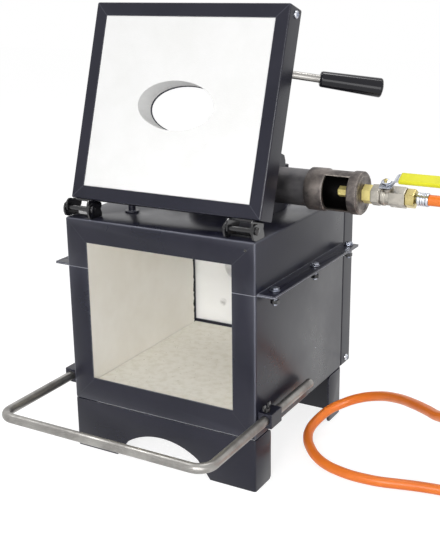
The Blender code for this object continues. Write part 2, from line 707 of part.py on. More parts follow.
def peep_hole(name: str, edge: float, door) -> bpy.types.Object:
    """Return the elliptical cutter of the door's hole, smaller by an edge all round."""
    height = (DOOR_HINGE_EDGE + DOOR_FREE_EDGE) / 2
    shape = bmesh.new()
    bmesh.ops.create_cone(shape, cap_ends=True, segments=PEEP_STEPS, radius1=1.0, radius2=1.0,
                          depth=1.0, matrix=Matrix.Rotation(math.pi / 2, 4, "X"))
    bmesh.ops.scale(shape, vec=(PEEP_WIDTH / 2 - edge, 2 * DOOR_THICKNESS,
                                PEEP_HEIGHT / 2 - edge), verts=shape.verts)
    bmesh.ops.translate(shape, vec=(0.0, (LINING_PLANE + OUTER_PLANE) / 2, height),
                        verts=shape.verts)
    return add_piece(name, to_mesh(name, shape), None, door)


def build_door(prefix: str, screw_side: int, door) -> None:
    """Build one door in its closed place; its empty lies on the hinge's axis."""
    half = DOOR_HALF_WIDTH
    pan = block(f"{prefix}_door_pan", (-half, OUTER_PLANE, DOOR_FREE_EDGE),
                (half, LINING_PLANE, DOOR_HINGE_EDGE), BLACK_COAT, door)
    round_edges(pan, DOOR_ROUND, every_edge)
    wall = SHEET
    cut(pan, block(f"{prefix}_door_inside",
                   (wall - half, OUTER_PLANE + wall, DOOR_FREE_EDGE + wall),
                   (half - wall, LINING_PLANE - wall, DOOR_HINGE_EDGE - wall), None, door))
    cut(pan, block(f"{prefix}_door_mouth",
                   (DOOR_LIP - half, OUTER_PLANE + DOOR_THICKNESS / 2,
                    DOOR_FREE_EDGE + DOOR_LIP),
                   (half - DOOR_LIP, LINING_PLANE + OVERRUN, DOOR_HINGE_EDGE - DOOR_LIP),
                   None, door))
    cut(pan, peep_hole(f"{prefix}_door_peep", PEEP_STEEL_EDGE, door))
    edge = wall + GAP
    lining = block(f"{prefix}_door_lining",
                   (edge - half, OUTER_PLANE + edge, DOOR_FREE_EDGE + edge),
                   (half - edge, LINING_PLANE - edge, DOOR_HINGE_EDGE - edge),
                   WHITE_BOARD, door)
    inset = DOOR_LIP + GAP
    join(lining, block(f"{prefix}_lining_face",
                       (inset - half, OUTER_PLANE + DOOR_THICKNESS / 2,
                        DOOR_FREE_EDGE + inset),
                       (half - inset, LINING_PLANE - GAP, DOOR_HINGE_EDGE - inset),
                       None, door))
    cut(lining, peep_hole(f"{prefix}_lining_peep", 0.0, door))
    for side, word in ((-1, "left"), (1, "right")):
        build_leaf(f"{prefix}_hinge_leaf_{word}", side, door)
    build_handle(prefix, door)
    screw_height = DOOR_FREE_EDGE + SIDE_SCREW_SET_IN
    middle = (LINING_PLANE + OUTER_PLANE) / 2
    head, shank = SIDE_SCREW_DIAMETER / 2, SIDE_SCREW_SHANK / 2
    profile = [*dome(head, SIDE_SCREW_RIM, SIDE_SCREW_LENGTH), (head, GAP), (shank, GAP),
               (shank, GAP - SHEET), (0.0, GAP - SHEET)]
    turned(f"{prefix}_door_screw", profile, (screw_side * half, middle, screw_height),
           (screw_side, 0.0, 0.0), ZINC, door, steps=SMALL_STEPS)
    cut(pan, bar(f"{prefix}_door_screw_hole",
                 (screw_side * (half - edge), middle, screw_height),
                 (screw_side * (half + OVERRUN), middle, screw_height),
                 SIDE_SCREW_HOLE / 2, None, door))


def build_handle(prefix: str, door) -> None:
    """Build the slanted handle rod and its tapered grip."""
    root = Vector((HALF_WIDTH - HANDLE_SET_IN, OUTER_PLANE,
                   DOOR_FREE_EDGE + HANDLE_FROM_FREE_EDGE))
    along = Vector((math.cos(HANDLE_ANGLE), -math.sin(HANDLE_ANGLE), 0.0))
    tip = root + along * (GRIP_START + GRIP_BORE_DEPTH - GAP)
    rod = bar(f"{prefix}_handle_rod", root - along * HANDLE_ROD, tip, HANDLE_ROD / 2,
              BARE_ROD, door)
    cut(rod, block(f"{prefix}_handle_foot",
                   (root.x - OVERRUN, OUTER_PLANE - GAP, root.z - OVERRUN),
                   (root.x + OVERRUN, OUTER_PLANE + OVERRUN, root.z + OVERRUN), None, door))
    near, far = GRIP_NEAR_DIAMETER / 2, GRIP_FAR_DIAMETER / 2
    bore = HANDLE_ROD / 2 + GAP
    shoulder = GRIP_LENGTH - GRIP_CROWN
    rim = arc((far - GRIP_RIM, shoulder - GRIP_RIM), GRIP_RIM, math.pi / 2, 0.0, DOME_STEPS)
    profile = [(0.0, GRIP_LENGTH), *rim, (near, GRIP_EASE), (near - GRIP_EASE, 0.0),
               (bore, 0.0), (bore, GRIP_BORE_DEPTH), (0.0, GRIP_BORE_DEPTH)]
    turned(f"{prefix}_handle_grip", profile, root + along * GRIP_START, along,
           BLACK_PLASTIC, door)


def stop_top() -> float:
    """Return the height at which the open door's outer face meets a door stop."""
    turn = Matrix.Rotation(-DOOR_OPEN_ANGLE, 3, "X")
    edge = turn @ Vector((0.0, OUTER_PLANE, DOOR_HINGE_EDGE))
    upward = turn @ Vector((0.0, 0.0, -1.0))
    back = STOP_BACK - STOP_DIAMETER / 2 - PIN_BEHIND_FACE
    return PIN_HEIGHT + edge.z + (back - edge.y) * upward.z / upward.y - GAP / upward.y


def build_stop(name: str, across: float, back: float, base) -> None:
    """Build a door stop: a post with a wide foot on the roof."""
    bottom = ROOF + GAP
    radius, foot = STOP_DIAMETER / 2, STOP_FOOT / 2
    height = stop_top() - bottom
    profile = [(0.0, height), (radius, height), (radius, STOP_FOOT_THICKNESS),
               (foot, STOP_FOOT_THICKNESS), (foot, 0.0), (0.0, 0.0)]
    turned(name, profile, (across, back, bottom), (0.0, 0.0, 1.0), BLACK_COAT, base)


def build_rest(base, slide) -> None:
    """Build the sliding work rest and the two sleeves that it slides in."""
    side = SLEEVE_SIDE
    corner = arc((side - REST_BEND, REST_BEND - REST_REACH), REST_BEND, 0.0, -math.pi / 2,
                 REST_BEND_STEPS)
    half = [(side, REST_TAIL), *corner]
    path = half + [(-across, back) for across, back in reversed(half)]
    line = [(across, back, REST_HEIGHT) for across, back in path]
    add_piece("work_rest", rod_curve("work_rest", line, REST_ROD / 2, REST_RESOLUTION),
              BARE_ROD, slide)
    bore = REST_ROD / 2 + SLIDING_GAP
    for hand, word in ((-1, "left"), (1, "right")):
        middle = hand * side
        reach = SLEEVE_SIZE / 2
        sleeve = block(f"rest_sleeve_{word}",
                       (middle - reach, SLEEVE_SET_IN, REST_HEIGHT - reach),
                       (middle + reach, SLEEVE_SET_IN + SLEEVE_LENGTH, REST_HEIGHT + reach),
                       BLACK_COAT, base)
        round_edges(sleeve, SLEEVE_ROUND, every_edge)
        cut(sleeve, bar(f"rest_sleeve_{word}_bore", (middle, -OVERRUN, REST_HEIGHT),
                        (middle, BODY_DEPTH, REST_HEIGHT), bore, None, base))
        if hand > 0:
            cut(sleeve, bar("rest_sleeve_clamp_hole", (middle, WING_BACK, REST_HEIGHT),
                            (middle, WING_BACK, REST_HEIGHT + OVERRUN), WING_HOLE / 2,
                            None, base))


def build_wing_screw(clamp) -> None:
    """Build the wing screw that clamps the work rest; its empty is on the sleeve's top."""
    depth = SLEEVE_SIZE / 2 - REST_ROD / 2 - GAP
    screw = bar("wing_screw", (0.0, 0.0, -depth), (0.0, 0.0, WING_BOSS_HEIGHT / 2),
                WING_SHANK / 2, BLACK_HARDWARE, clamp)
    join(screw, bar("wing_screw_boss", (0.0, 0.0, GAP), (0.0, 0.0, WING_BOSS_HEIGHT),
                    WING_BOSS / 2, None, clamp))
    outline = [(across * WING_SPAN / 2, WING_LIFT + up * WING_HEIGHT)
               for across, up in WING_OUTLINE_SHARES]
    upright = Matrix.Rotation(math.pi / 2, 4, "Z") @ Matrix.Rotation(math.pi / 2, 4, "X")
    wings = flat_plate("wing_screw_wings", outline, WING_THICKNESS, upright)
    join(screw, add_piece("wing_screw_wings", wings, None, clamp))


def elbow_path(overrun: float) -> list:
    """Return the elbow's centre line, longer by an overrun at both ends."""
    bend = arc((ELBOW_BEND, BURNER_HEIGHT - ELBOW_BEND), ELBOW_BEND, math.pi / 2, math.pi,
               ELBOW_STEPS)
    flat = [(ELBOW_REACH + overrun, BURNER_HEIGHT), *bend, (0.0, ELBOW_BOTTOM - overrun)]
    return [(across, MIDDLE_DEPTH, height) for across, height in flat]


def build_burner(base) -> None:
    """Build the pipework from the roof to the gas jet."""
    outer = PIPE_DIAMETER / 2
    inner = outer - PIPE_WALL
    solid = rod_curve("burner_elbow", elbow_path(0.0), ELBOW_DIAMETER / 2, ELBOW_RESOLUTION)
    bore = rod_curve("burner_elbow_bore", elbow_path(OVERRUN), inner, ELBOW_RESOLUTION)
    elbow = add_piece("burner_elbow", meshed(solid, Matrix()), MILL_SCALE, base)
    cut(elbow, add_piece("burner_elbow_bore", meshed(bore, Matrix()), None, base))
    nozzle_bottom = OPENING_TOP + NOZZLE_SHORT_OF_ROOF
    pipe_ring("burner_nozzle", pipe_wall(ROOF + NOZZLE_SEAT - nozzle_bottom),
              (0.0, MIDDLE_DEPTH, nozzle_bottom), (0.0, 0.0, 1.0), MILL_SCALE, base)
    pipe_ring("mixing_tube", pipe_wall(MIXER_LENGTH), (MIXER_START, *BURNER_AXIS),
              (1.0, 0.0, 0.0), MILL_SCALE, base)
    holder = block("burner_bracket",
                   (HOLDER_START, MIDDLE_DEPTH - HOLDER_WIDTH / 2, ROOF + GAP),
                   (HOLDER_START + HOLDER_PLATE, MIDDLE_DEPTH + HOLDER_WIDTH / 2,
                    BURNER_HEIGHT + HOLDER_ABOVE_AXIS), BLACK_COAT, base)
    round_edges(holder, HOLDER_ROUND, lambda middle, direction: float(
        runs_along("x", direction) and middle.z > BURNER_HEIGHT))
    cut(holder, bar("burner_bracket_hole", (HOLDER_START - OVERRUN, *BURNER_AXIS),
                    (HOLDER_START + OVERRUN, *BURNER_AXIS), outer + GAP, None, base,
                    sides=ROUND_STEPS))


def pipe_wall(length: float) -> list:
    """Return the profile of a length of the burner's pipe."""
    outer = PIPE_DIAMETER / 2
    inner = outer - PIPE_WALL
    return [(outer, length), (outer, 0.0), (inner, 0.0), (inner, length)]


def pipe_ring(name: str, ring: list, place: tuple, along: tuple, finish, parent):
    """Return a turned piece whose profile is a closed ring clear of the axis."""
    piece = turned(name, ring, place, along, finish, parent)
    shape = bmesh.new()
    shape.from_mesh(piece.data)
    shape.verts.ensure_lookup_table()
    shape.edges.new((shape.verts[-1], shape.verts[0]))
    shape.to_mesh(piece.data)
    shape.free()
    return piece


def build_bell(base) -> None:
    """Build the air intake: the bell with its window, the end plate and the gas jet."""
    start, collar, waist = (BELL_START_DIAMETER / 2, BELL_COLLAR_DIAMETER / 2,
                            BELL_WAIST_DIAMETER / 2)
    socket = PIPE_DIAMETER / 2 + GAP
    collar_end = BELL_CONE + BELL_COLLAR
    window_end = collar_end + BELL_WINDOW
    end = window_end + BELL_RIM
    soft = BELL_RIM_ROUND
    socket_end = BELL_LAP + GAP
    profile = [
        (collar - soft, end), (collar, end - soft), (collar, window_end + soft),
        (waist, window_end), (waist, collar_end), (collar, collar_end - soft),
        (collar, BELL_CONE), (start + soft, soft), (start, 0.0), (socket, 0.0),
        (socket, socket_end), (BELL_BORE / 2, socket_end), (BELL_BORE / 2, end),
    ]
    bell = pipe_ring("intake_bell", profile, (BELL_START, *BURNER_AXIS), (1.0, 0.0, 0.0),
                     HEATED_STEEL, base)
    cut(bell, block("intake_window",
                    (BELL_START + collar_end, MIDDLE_DEPTH - collar - OVERRUN,
                     BURNER_HEIGHT - BELL_WINDOW_HEIGHT / 2),
                    (BELL_START + window_end, MIDDLE_DEPTH,
                     BURNER_HEIGHT + BELL_WINDOW_HEIGHT / 2), None, base))
    plate_radius = BELL_BORE / 2 - GAP
    jet_hole = JET_DIAMETER / 2 + GAP
    ring = [(plate_radius, END_PLATE), (plate_radius, 0.0), (jet_hole, 0.0),
            (jet_hole, END_PLATE)]
    pipe_ring("intake_end_plate", ring, (BELL_END - END_PLATE, *BURNER_AXIS),
              (1.0, 0.0, 0.0), HEATED_STEEL, base)
    length = JET_REACH + 2 * GAP
    radius, bore = JET_DIAMETER / 2, JET_BORE / 2
    profile = [(0.0, length), (radius, length), (radius, bore), (radius - bore, 0.0),
               (bore, 0.0), (bore, JET_BORE_DEPTH), (0.0, JET_BORE_DEPTH)]
    jet = turned("gas_jet", profile, (JET_START, *BURNER_AXIS), (1.0, 0.0, 0.0), BRASS, base,
                 steps=SMALL_STEPS)
    join(jet, hex_bar("gas_jet_hex", JET_HEX_START, JET_HEX_LENGTH, JET_FLATS, None, base))


def hex_bar(name: str, start: float, length: float, flats: float, finish, parent):
    """Return a hexagon on the burner's axis."""
    return bar(name, (start, *BURNER_AXIS), (start + length, *BURNER_AXIS),
               hex_radius(flats), finish, parent, sides=6)


def build_valve(base, stem) -> None:
    """Build the ball valve and, on its stem's axis, the lever."""
    valve = hex_bar("valve_body", VALVE_START, VALVE_INLET_HEX, VALVE_FLATS, NICKEL, base)
    join(valve, bar("valve_ball", ((VALVE_START + VALVE_BARREL_START) / 2, *BURNER_AXIS),
                    ((VALVE_BARREL_END + VALVE_END) / 2, *BURNER_AXIS),
                    VALVE_BALL_DIAMETER / 2, None, base, sides=ROUND_STEPS))
    join(valve, hex_bar("valve_outlet_hex", VALVE_BARREL_END, VALVE_OUTLET_HEX, VALVE_FLATS,
                        None, base))
    join(valve, bar("valve_boss", (0.0, 0.0, 0.0), (0.0, 0.0, VALVE_BOSS_TOP),
                    VALVE_BOSS_DIAMETER / 2, None, stem))
    stem_bottom = VALVE_BOSS_TOP - STEM_DEPTH
    cut(valve, bar("valve_stem_bore", (0.0, 0.0, stem_bottom),
                   (0.0, 0.0, VALVE_BOSS_TOP + OVERRUN), STEM_DIAMETER / 2 + GAP, None, stem))
    radius, thread = STEM_DIAMETER / 2, STEM_THREAD / 2
    profile = [(0.0, STEM_TOP), (thread, STEM_TOP), (thread, STEM_SHOULDER),
               (radius, STEM_SHOULDER), (radius, stem_bottom + GAP), (0.0, stem_bottom + GAP)]
    turned("lever_stem", profile, (0.0, 0.0, 0.0), (0.0, 0.0, 1.0), BRASS, stem,
           steps=SMALL_STEPS)
    lever = build_lever_strip(stem)
    cut(lever, bar("valve_lever_hole", (0.0, 0.0, 0.0), (0.0, 0.0, OVERRUN + STEM_TOP),
                   thread + GAP, None, stem))
    nut_bottom = LEVER_BOTTOM + LEVER_THICKNESS + GAP
    nut = bar("lever_nut", (0.0, 0.0, nut_bottom), (0.0, 0.0, nut_bottom + LEVER_NUT_HEIGHT),
              hex_radius(LEVER_NUT_FLATS), ZINC, stem, sides=6)
    cut(nut, bar("lever_nut_hole", (0.0, 0.0, 0.0), (0.0, 0.0, OVERRUN + STEM_TOP),
                 thread + GAP, None, stem))
    strip_bottom = LEVER_BOTTOM + LEVER_LIFT
    middle = strip_bottom + LEVER_THICKNESS / 2
    sleeve = block("lever_sleeve",
                   (GRIP_SLEEVE_START, -GRIP_SLEEVE_WIDTH / 2,
                    middle - GRIP_SLEEVE_THICKNESS / 2),
                   (LEVER_END + GRIP_SLEEVE_TIP, GRIP_SLEEVE_WIDTH / 2,
                    middle + GRIP_SLEEVE_THICKNESS / 2), YELLOW_PLASTIC, stem)
    round_edges(sleeve, GRIP_SLEEVE_ROUND, every_edge)
    cut(sleeve, block("lever_sleeve_slot",
                      (GRIP_SLEEVE_START - OVERRUN, -LEVER_WIDTH / 2 - GAP,
                       strip_bottom - GAP),
                      (LEVER_END + GAP, LEVER_WIDTH / 2 + GAP,
                       strip_bottom + LEVER_THICKNESS + GAP), None, stem))


def build_lever_strip(stem) -> bpy.types.Object:
    """Return the cranked strip of the valve's lever."""
    raised = LEVER_BOTTOM + LEVER_LIFT
    side_view = [(-LEVER_TAIL, LEVER_BOTTOM), (LEVER_CRANK_START, LEVER_BOTTOM),
                 (LEVER_CRANK_END, raised), (LEVER_END, raised)]
    shape = bmesh.new()
    corners = [shape.verts.new((along, -LEVER_WIDTH / 2, height))
               for along, height in side_view]
    edges = [shape.edges.new(pair) for pair in zip(corners, corners[1:])]
    widened = bmesh.ops.extrude_edge_only(shape, edges=edges)["geom"]
    bmesh.ops.translate(shape, vec=(0.0, LEVER_WIDTH, 0.0),
                        verts=[item for item in widened
                               if isinstance(item, bmesh.types.BMVert)])
    bmesh.ops.recalc_face_normals(shape, faces=shape.faces)
    if sum(face.normal.z for face in shape.faces) > 0.0:
        bmesh.ops.reverse_faces(shape, faces=shape.faces)
    lever = add_piece("valve_lever", to_mesh("valve_lever", shape), ZINC, stem)
    round_edges(lever, LEVER_BEND, lambda middle, direction: float(
        runs_along("y", direction) and -LEVER_TAIL < middle.x - MERGE
        and middle.x + MERGE < LEVER_END))
    sheet = lever.modifiers.new("strip", "SOLIDIFY")
    sheet.thickness = LEVER_THICKNESS
    sheet.offset = -1.0
    sheet.use_even_offset = True
    return lever


def ferrule_profile(length: float) -> list:
    """Return the profile of a crimped ferrule, from its hose end to its neck."""
    radius = FERRULE_DIAMETER / 2
    groove = radius - FERRULE_GROOVE
    half = FERRULE_GROOVE_WIDTH / 2
    profile = [(0.0, length), (radius, length)]
    for share in reversed(FERRULE_GROOVE_SHARES):
        place = FERRULE_NECK_LENGTH + share * (length - FERRULE_NECK_LENGTH)
        profile += [(radius, place + 2 * half), (groove, place + half), (groove, place - half),
                    (radius, place - 2 * half)]
    return profile + [(radius, FERRULE_NECK_LENGTH), (FERRULE_NECK / 2, 0.0), (0.0, 0.0)]


def build_hose_fittings(base) -> None:
    """Build the brass nipple at the valve and the ferrule on the hose's end."""
    hex_bar("hose_nipple", NIPPLE_START, NIPPLE_LENGTH, NIPPLE_FLATS, BRASS, base)
    turned("hose_ferrule", ferrule_profile(FERRULE_LENGTH), (FERRULE_START, *BURNER_AXIS),
           (1.0, 0.0, 0.0), ZINC, base)


def ease(share: float) -> float:
    """Return a share eased in and out, held between 0 and 1."""
    share = min(max(share, 0.0), 1.0)
    return share * share * (3.0 - 2.0 * share)


def coil_route() -> list:
    """Return the centre line of the hose's coil, from the hose to the end fitting."""
    lead = Vector(HOSE_ROUTE[-1]) + Vector((GAP, 0.0, 0.0))
    centre = lead + Vector((COIL_LEAD, COIL_RADIUS, 0.0))
    inner = COIL_RADIUS - COIL_PITCH * COIL_INWARD_TURNS
    reversing = COIL_INWARD_TURNS + COIL_REVERSE_TURNS
    out_end = reversing + COIL_OUTWARD_TURNS
    total = out_end + COIL_TAIL_TURNS
    last_height = COUPLING_FLATS / 2 + GAP
    route = [lead]
    for step in range(round(total * COIL_POINTS_PER_TURN) + 1):
        turns = step / COIL_POINTS_PER_TURN
        tail = (turns - out_end) / COIL_TAIL_TURNS
        radius = max(inner, COIL_RADIUS - COIL_PITCH * turns)
        radius += max(0.0, min(turns, out_end) - reversing) * COIL_PITCH
        radius += COIL_TAIL_OUT * ease(tail / COIL_TAIL_OUT_SHARE)
        height = lead.z + COIL_CLIMB * ease((turns - COIL_INWARD_TURNS) / COIL_REVERSE_TURNS)
        drop = ease((tail - COIL_TAIL_DROP_SHARE) / (1.0 - COIL_TAIL_DROP_SHARE))
        height += drop * (last_height - lead.z - COIL_CLIMB)
        angle = 2.0 * math.pi * turns - math.pi / 2
        route.append(Vector((centre.x + radius * math.cos(angle),
                             centre.y + radius * math.sin(angle), height)))
    onward = Vector((-math.sin(angle), math.cos(angle), 0.0))
    route.append(route[-1] + onward * HOSE_DIAMETER)
    return route


def least_gap(route: list) -> float:
    """Return the least gap of a tube to itself, measured between points of its centre line."""
    places = []
    for first, second in zip(route, route[1:]):
        places += [first.lerp(second, step / COIL_CHECK_STEPS)
                   for step in range(COIL_CHECK_STEPS)]
    skip = COIL_CHECK_SKIP * COIL_CHECK_STEPS
    nearest = min((first - second).length for index, first in enumerate(places)
                  for second in places[index + skip:])
    return nearest - HOSE_DIAMETER


def build_hose(base) -> None:
    """Build the free hose, its coil on the floor and the fitting on its far end."""
    route = coil_route()
    for name, path, resolution in (("gas_hose", HOSE_ROUTE, HOSE_RESOLUTION),
                                   ("hose_coil", route, COIL_RESOLUTION)):
        add_piece(name, rod_curve(name, path, HOSE_DIAMETER / 2, resolution),
                  ORANGE_RUBBER, base)
    print(f"hose coil: least gap to itself {least_gap(route) * 1000:.2f} mm")
    lengths = [sum((Vector(second) - Vector(first)).length
                   for first, second in zip(path, path[1:])) for path in (HOSE_ROUTE, route)]
    print(f"hose length {sum(lengths):.3f} m")
    along = (route[-1] - route[-2]).normalized()
    start = route[-1] + along * GAP
    profile = [(radius, COUPLING_FERRULE_LENGTH - place)
               for radius, place in reversed(ferrule_profile(COUPLING_FERRULE_LENGTH))]
    cone = COUPLING_CONE_DIAMETER / 2
    tip = COUPLING_FERRULE_LENGTH + COUPLING_HEX_LENGTH + COUPLING_CONE_LENGTH
    profile = [(0.0, tip), (cone / 2, tip), (cone, tip - COUPLING_CONE_LENGTH),
               (cone, COUPLING_FERRULE_LENGTH), *profile[1:]]
    fitting = turned("hose_end_fitting", profile, start, along, BRASS, base)
    hex_start = start + along * COUPLING_FERRULE_LENGTH
    join(fitting, bar("hose_end_hex", hex_start, hex_start + along * COUPLING_HEX_LENGTH,
                      hex_radius(COUPLING_FLATS), None, base, sides=6, turn=math.pi / 6))


def centre_footprint(base: bpy.types.Object) -> None:
    """Move the forge so that its box, without the hose, is centred over the origin."""
    bpy.context.view_layer.update()
    graph = bpy.context.evaluated_depsgraph_get()
    corners = []
    for piece in PIECES.objects:
        if piece.type == "EMPTY" or piece.name in HOSE_PIECES:
            continue
        solid = piece.evaluated_get(graph)
        mesh = solid.to_mesh()
        corners += [solid.matrix_world @ corner.co for corner in mesh.vertices]
        solid.to_mesh_clear()
    low = [min(corner[axis] for corner in corners) for axis in range(3)]
    high = [max(corner[axis] for corner in corners) for axis in range(3)]
    base.location = (-(low[0] + high[0]) / 2, -(low[1] + high[1]) / 2, -low[2])
    print("box without the hose:", [round(value, 5) for value in low],
          [round(value, 5) for value in high])
    print("frame moved by:", [round(value, 5) for value in base.location])


def main() -> None:
    """Build the whole forge."""
    base = make_empty("forge_frame", (0.0, 0.0, 0.0), (0.0, 0.0, 0.0))
    build_shell("lower_shell", LEG_HEIGHT, SPLIT - GAP / 2, "top", base)
    build_shell("upper_shell", SPLIT + GAP / 2, ROOF, "bottom", base)
    for index, (across, back) in enumerate(bolt_places()):
        build_bolt(f"shell_bolt_{index + 1}", across, back, base)
    build_leg("front_leg", 0.0, 1, base)
    build_leg("rear_leg", BODY_DEPTH, -1, base)
    build_linings(base)
    doors = (("front", 1, PIN_BEHIND_FACE, 0.0, -DOOR_OPEN_ANGLE),
             ("rear", -1, BODY_DEPTH - PIN_BEHIND_FACE, math.pi, 0.0))
    for prefix, screw_side, back, facing, opened in doors:
        pivot = make_empty(f"{prefix}_hinge_axis", (0.0, back, PIN_HEIGHT),
                           (0.0, 0.0, facing), base)
        for side, word in ((-1, "left"), (1, "right")):
            build_bracket(f"{prefix}_hinge_bracket_{word}", side, pivot)
            build_pin(f"{prefix}_hinge_pin_{word}", side, pivot)
        door = make_empty(f"{prefix}_door_axis", (0.0, 0.0, 0.0), (opened, 0.0, 0.0), pivot)
        build_door(prefix, screw_side, door)
    build_stop("front_door_stop", -STOP_SIDE, STOP_BACK, base)
    build_stop("rear_door_stop", STOP_SIDE, BODY_DEPTH - STOP_BACK, base)
    slide = make_empty("work_rest_slide", (0.0, 0.0, 0.0), (0.0, 0.0, 0.0), base)
    build_rest(base, slide)
    sleeve_top = REST_HEIGHT + SLEEVE_SIZE / 2
    build_wing_screw(make_empty("wing_screw_axis", (SLEEVE_SIDE, WING_BACK, sleeve_top),
                                (0.0, 0.0, 0.0), base))
    build_burner(base)
    build_bell(base)
    build_valve(base, make_empty("valve_stem_axis",
                                 (VALVE_BARREL_START + VALVE_BOSS_OUT, *BURNER_AXIS),
                                 (VALVE_LEAN, 0.0, 0.0), base))
    build_hose_fittings(base)
    build_hose(base)
    centre_footprint(base)


clear_scene()
PIECES = make_collection("gas_forge")
CUTTERS = make_collection("cutters", hidden=True)
main()
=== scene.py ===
"""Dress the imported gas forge: finishes, smooth turned parts, hose, floor, light and camera."""

import logging
import math
from dataclasses import dataclass, field, replace
from enum import Enum, IntEnum
from typing import Iterable, Protocol, Sequence, Union

import bmesh
import bpy
from mathutils import Matrix, Vector


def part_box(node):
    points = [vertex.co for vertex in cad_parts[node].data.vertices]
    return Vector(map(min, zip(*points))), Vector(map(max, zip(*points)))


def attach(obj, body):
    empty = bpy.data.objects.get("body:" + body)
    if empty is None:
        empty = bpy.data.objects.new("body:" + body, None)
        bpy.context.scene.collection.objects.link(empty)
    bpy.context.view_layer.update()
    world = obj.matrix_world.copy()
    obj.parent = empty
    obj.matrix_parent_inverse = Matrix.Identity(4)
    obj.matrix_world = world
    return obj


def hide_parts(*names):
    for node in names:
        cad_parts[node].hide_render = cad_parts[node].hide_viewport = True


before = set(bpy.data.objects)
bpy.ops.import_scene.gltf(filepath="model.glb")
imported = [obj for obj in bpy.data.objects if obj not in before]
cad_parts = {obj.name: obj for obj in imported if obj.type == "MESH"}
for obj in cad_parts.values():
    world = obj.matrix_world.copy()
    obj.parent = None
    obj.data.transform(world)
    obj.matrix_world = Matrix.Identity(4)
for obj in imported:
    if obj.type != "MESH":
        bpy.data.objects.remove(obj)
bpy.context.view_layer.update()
LOG = logging.getLogger("gas_forge")

Point = tuple[float, float, float]
Pair = tuple[float, float]
Colour = tuple[float, float, float]
Socket = bpy.types.NodeSocket
Value = Union[bpy.types.NodeSocket, float, Sequence[float]]

RIGHT: Point = (1.0, 0.0, 0.0)
FORWARD: Point = (0.0, -1.0, 0.0)
BACK: Point = (0.0, 1.0, 0.0)
UP: Point = (0.0, 0.0, 1.0)

# Corners closer than this, in metres, are one corner.
MERGE = 1e-6

# Widths of the chamfers that break turned and milled corners, in metres.
FINEST_CHAMFER = 0.0003
FINE_CHAMFER = 0.0004
LIGHT_CHAMFER = 0.0005
PLAIN_CHAMFER = 0.0006
BROAD_CHAMFER = 0.0010


class Facets(IntEnum):
    """How many facets a turned piece has round it."""

    FEW = 24
    SOME = 32
    MANY = 40
    MOST = 64


class Body(Enum):
    """The bodies that pieces ride on."""

    FORGE = "forge"
    FRONT_DOOR = "front_door"
    REAR_DOOR = "rear_door"
    WORK_REST = "work_rest"
    WING_SCREW = "wing_screw"
    VALVE_LEVER = "valve_lever"


class SharedGroup(Enum):
    """The shader node groups that the finishes share."""

    EDGE_WEAR_AND_HIGHLIGHT = "Edge Wear And Highlight"
    GRAIN = "Grain"
    DUST = "Dust"
    SPECKS = "Specks"


@dataclass(frozen=True)
class ForgeSizes:
    """Sizes that several sub-assemblies share, in metres, in the forge's own frame.

    In that frame x is 0 at the middle of the casing, y is 0 at its front and z is 0 on the floor.
    Angles are in radians, here and in every other class.
    """

    width: float = 0.290
    depth: float = 0.2784
    leg_height: float = 0.0740
    body_height: float = 0.2653
    sheet: float = 0.0015
    split_height: float = 0.1968
    flange_width: float = 0.0245
    pin_behind_face: float = 0.0046
    pin_above_roof: float = 0.0131
    door_width: float = 0.2885
    door_standoff: float = 0.0015
    door_open: float = math.radians(197.8)
    burner_height: float = 0.3805
    gap: float = 0.0003

    @property
    def roof(self) -> float:
        """Height of the top plate."""
        return self.leg_height + self.body_height

    @property
    def split(self) -> float:
        """Height of the joint between the casing's halves."""
        return self.leg_height + self.split_height

    @property
    def middle(self) -> float:
        """Depth of the casing's middle, where the burner stands."""
        return self.depth / 2

    @property
    def pin_height(self) -> float:
        """Height of the hinge axes."""
        return self.roof + self.pin_above_roof

    def on_burner(self, along: float) -> Point:
        """Return the point of the burner's axis at an x."""
        return along, self.middle, self.burner_height


SIZES = ForgeSizes()


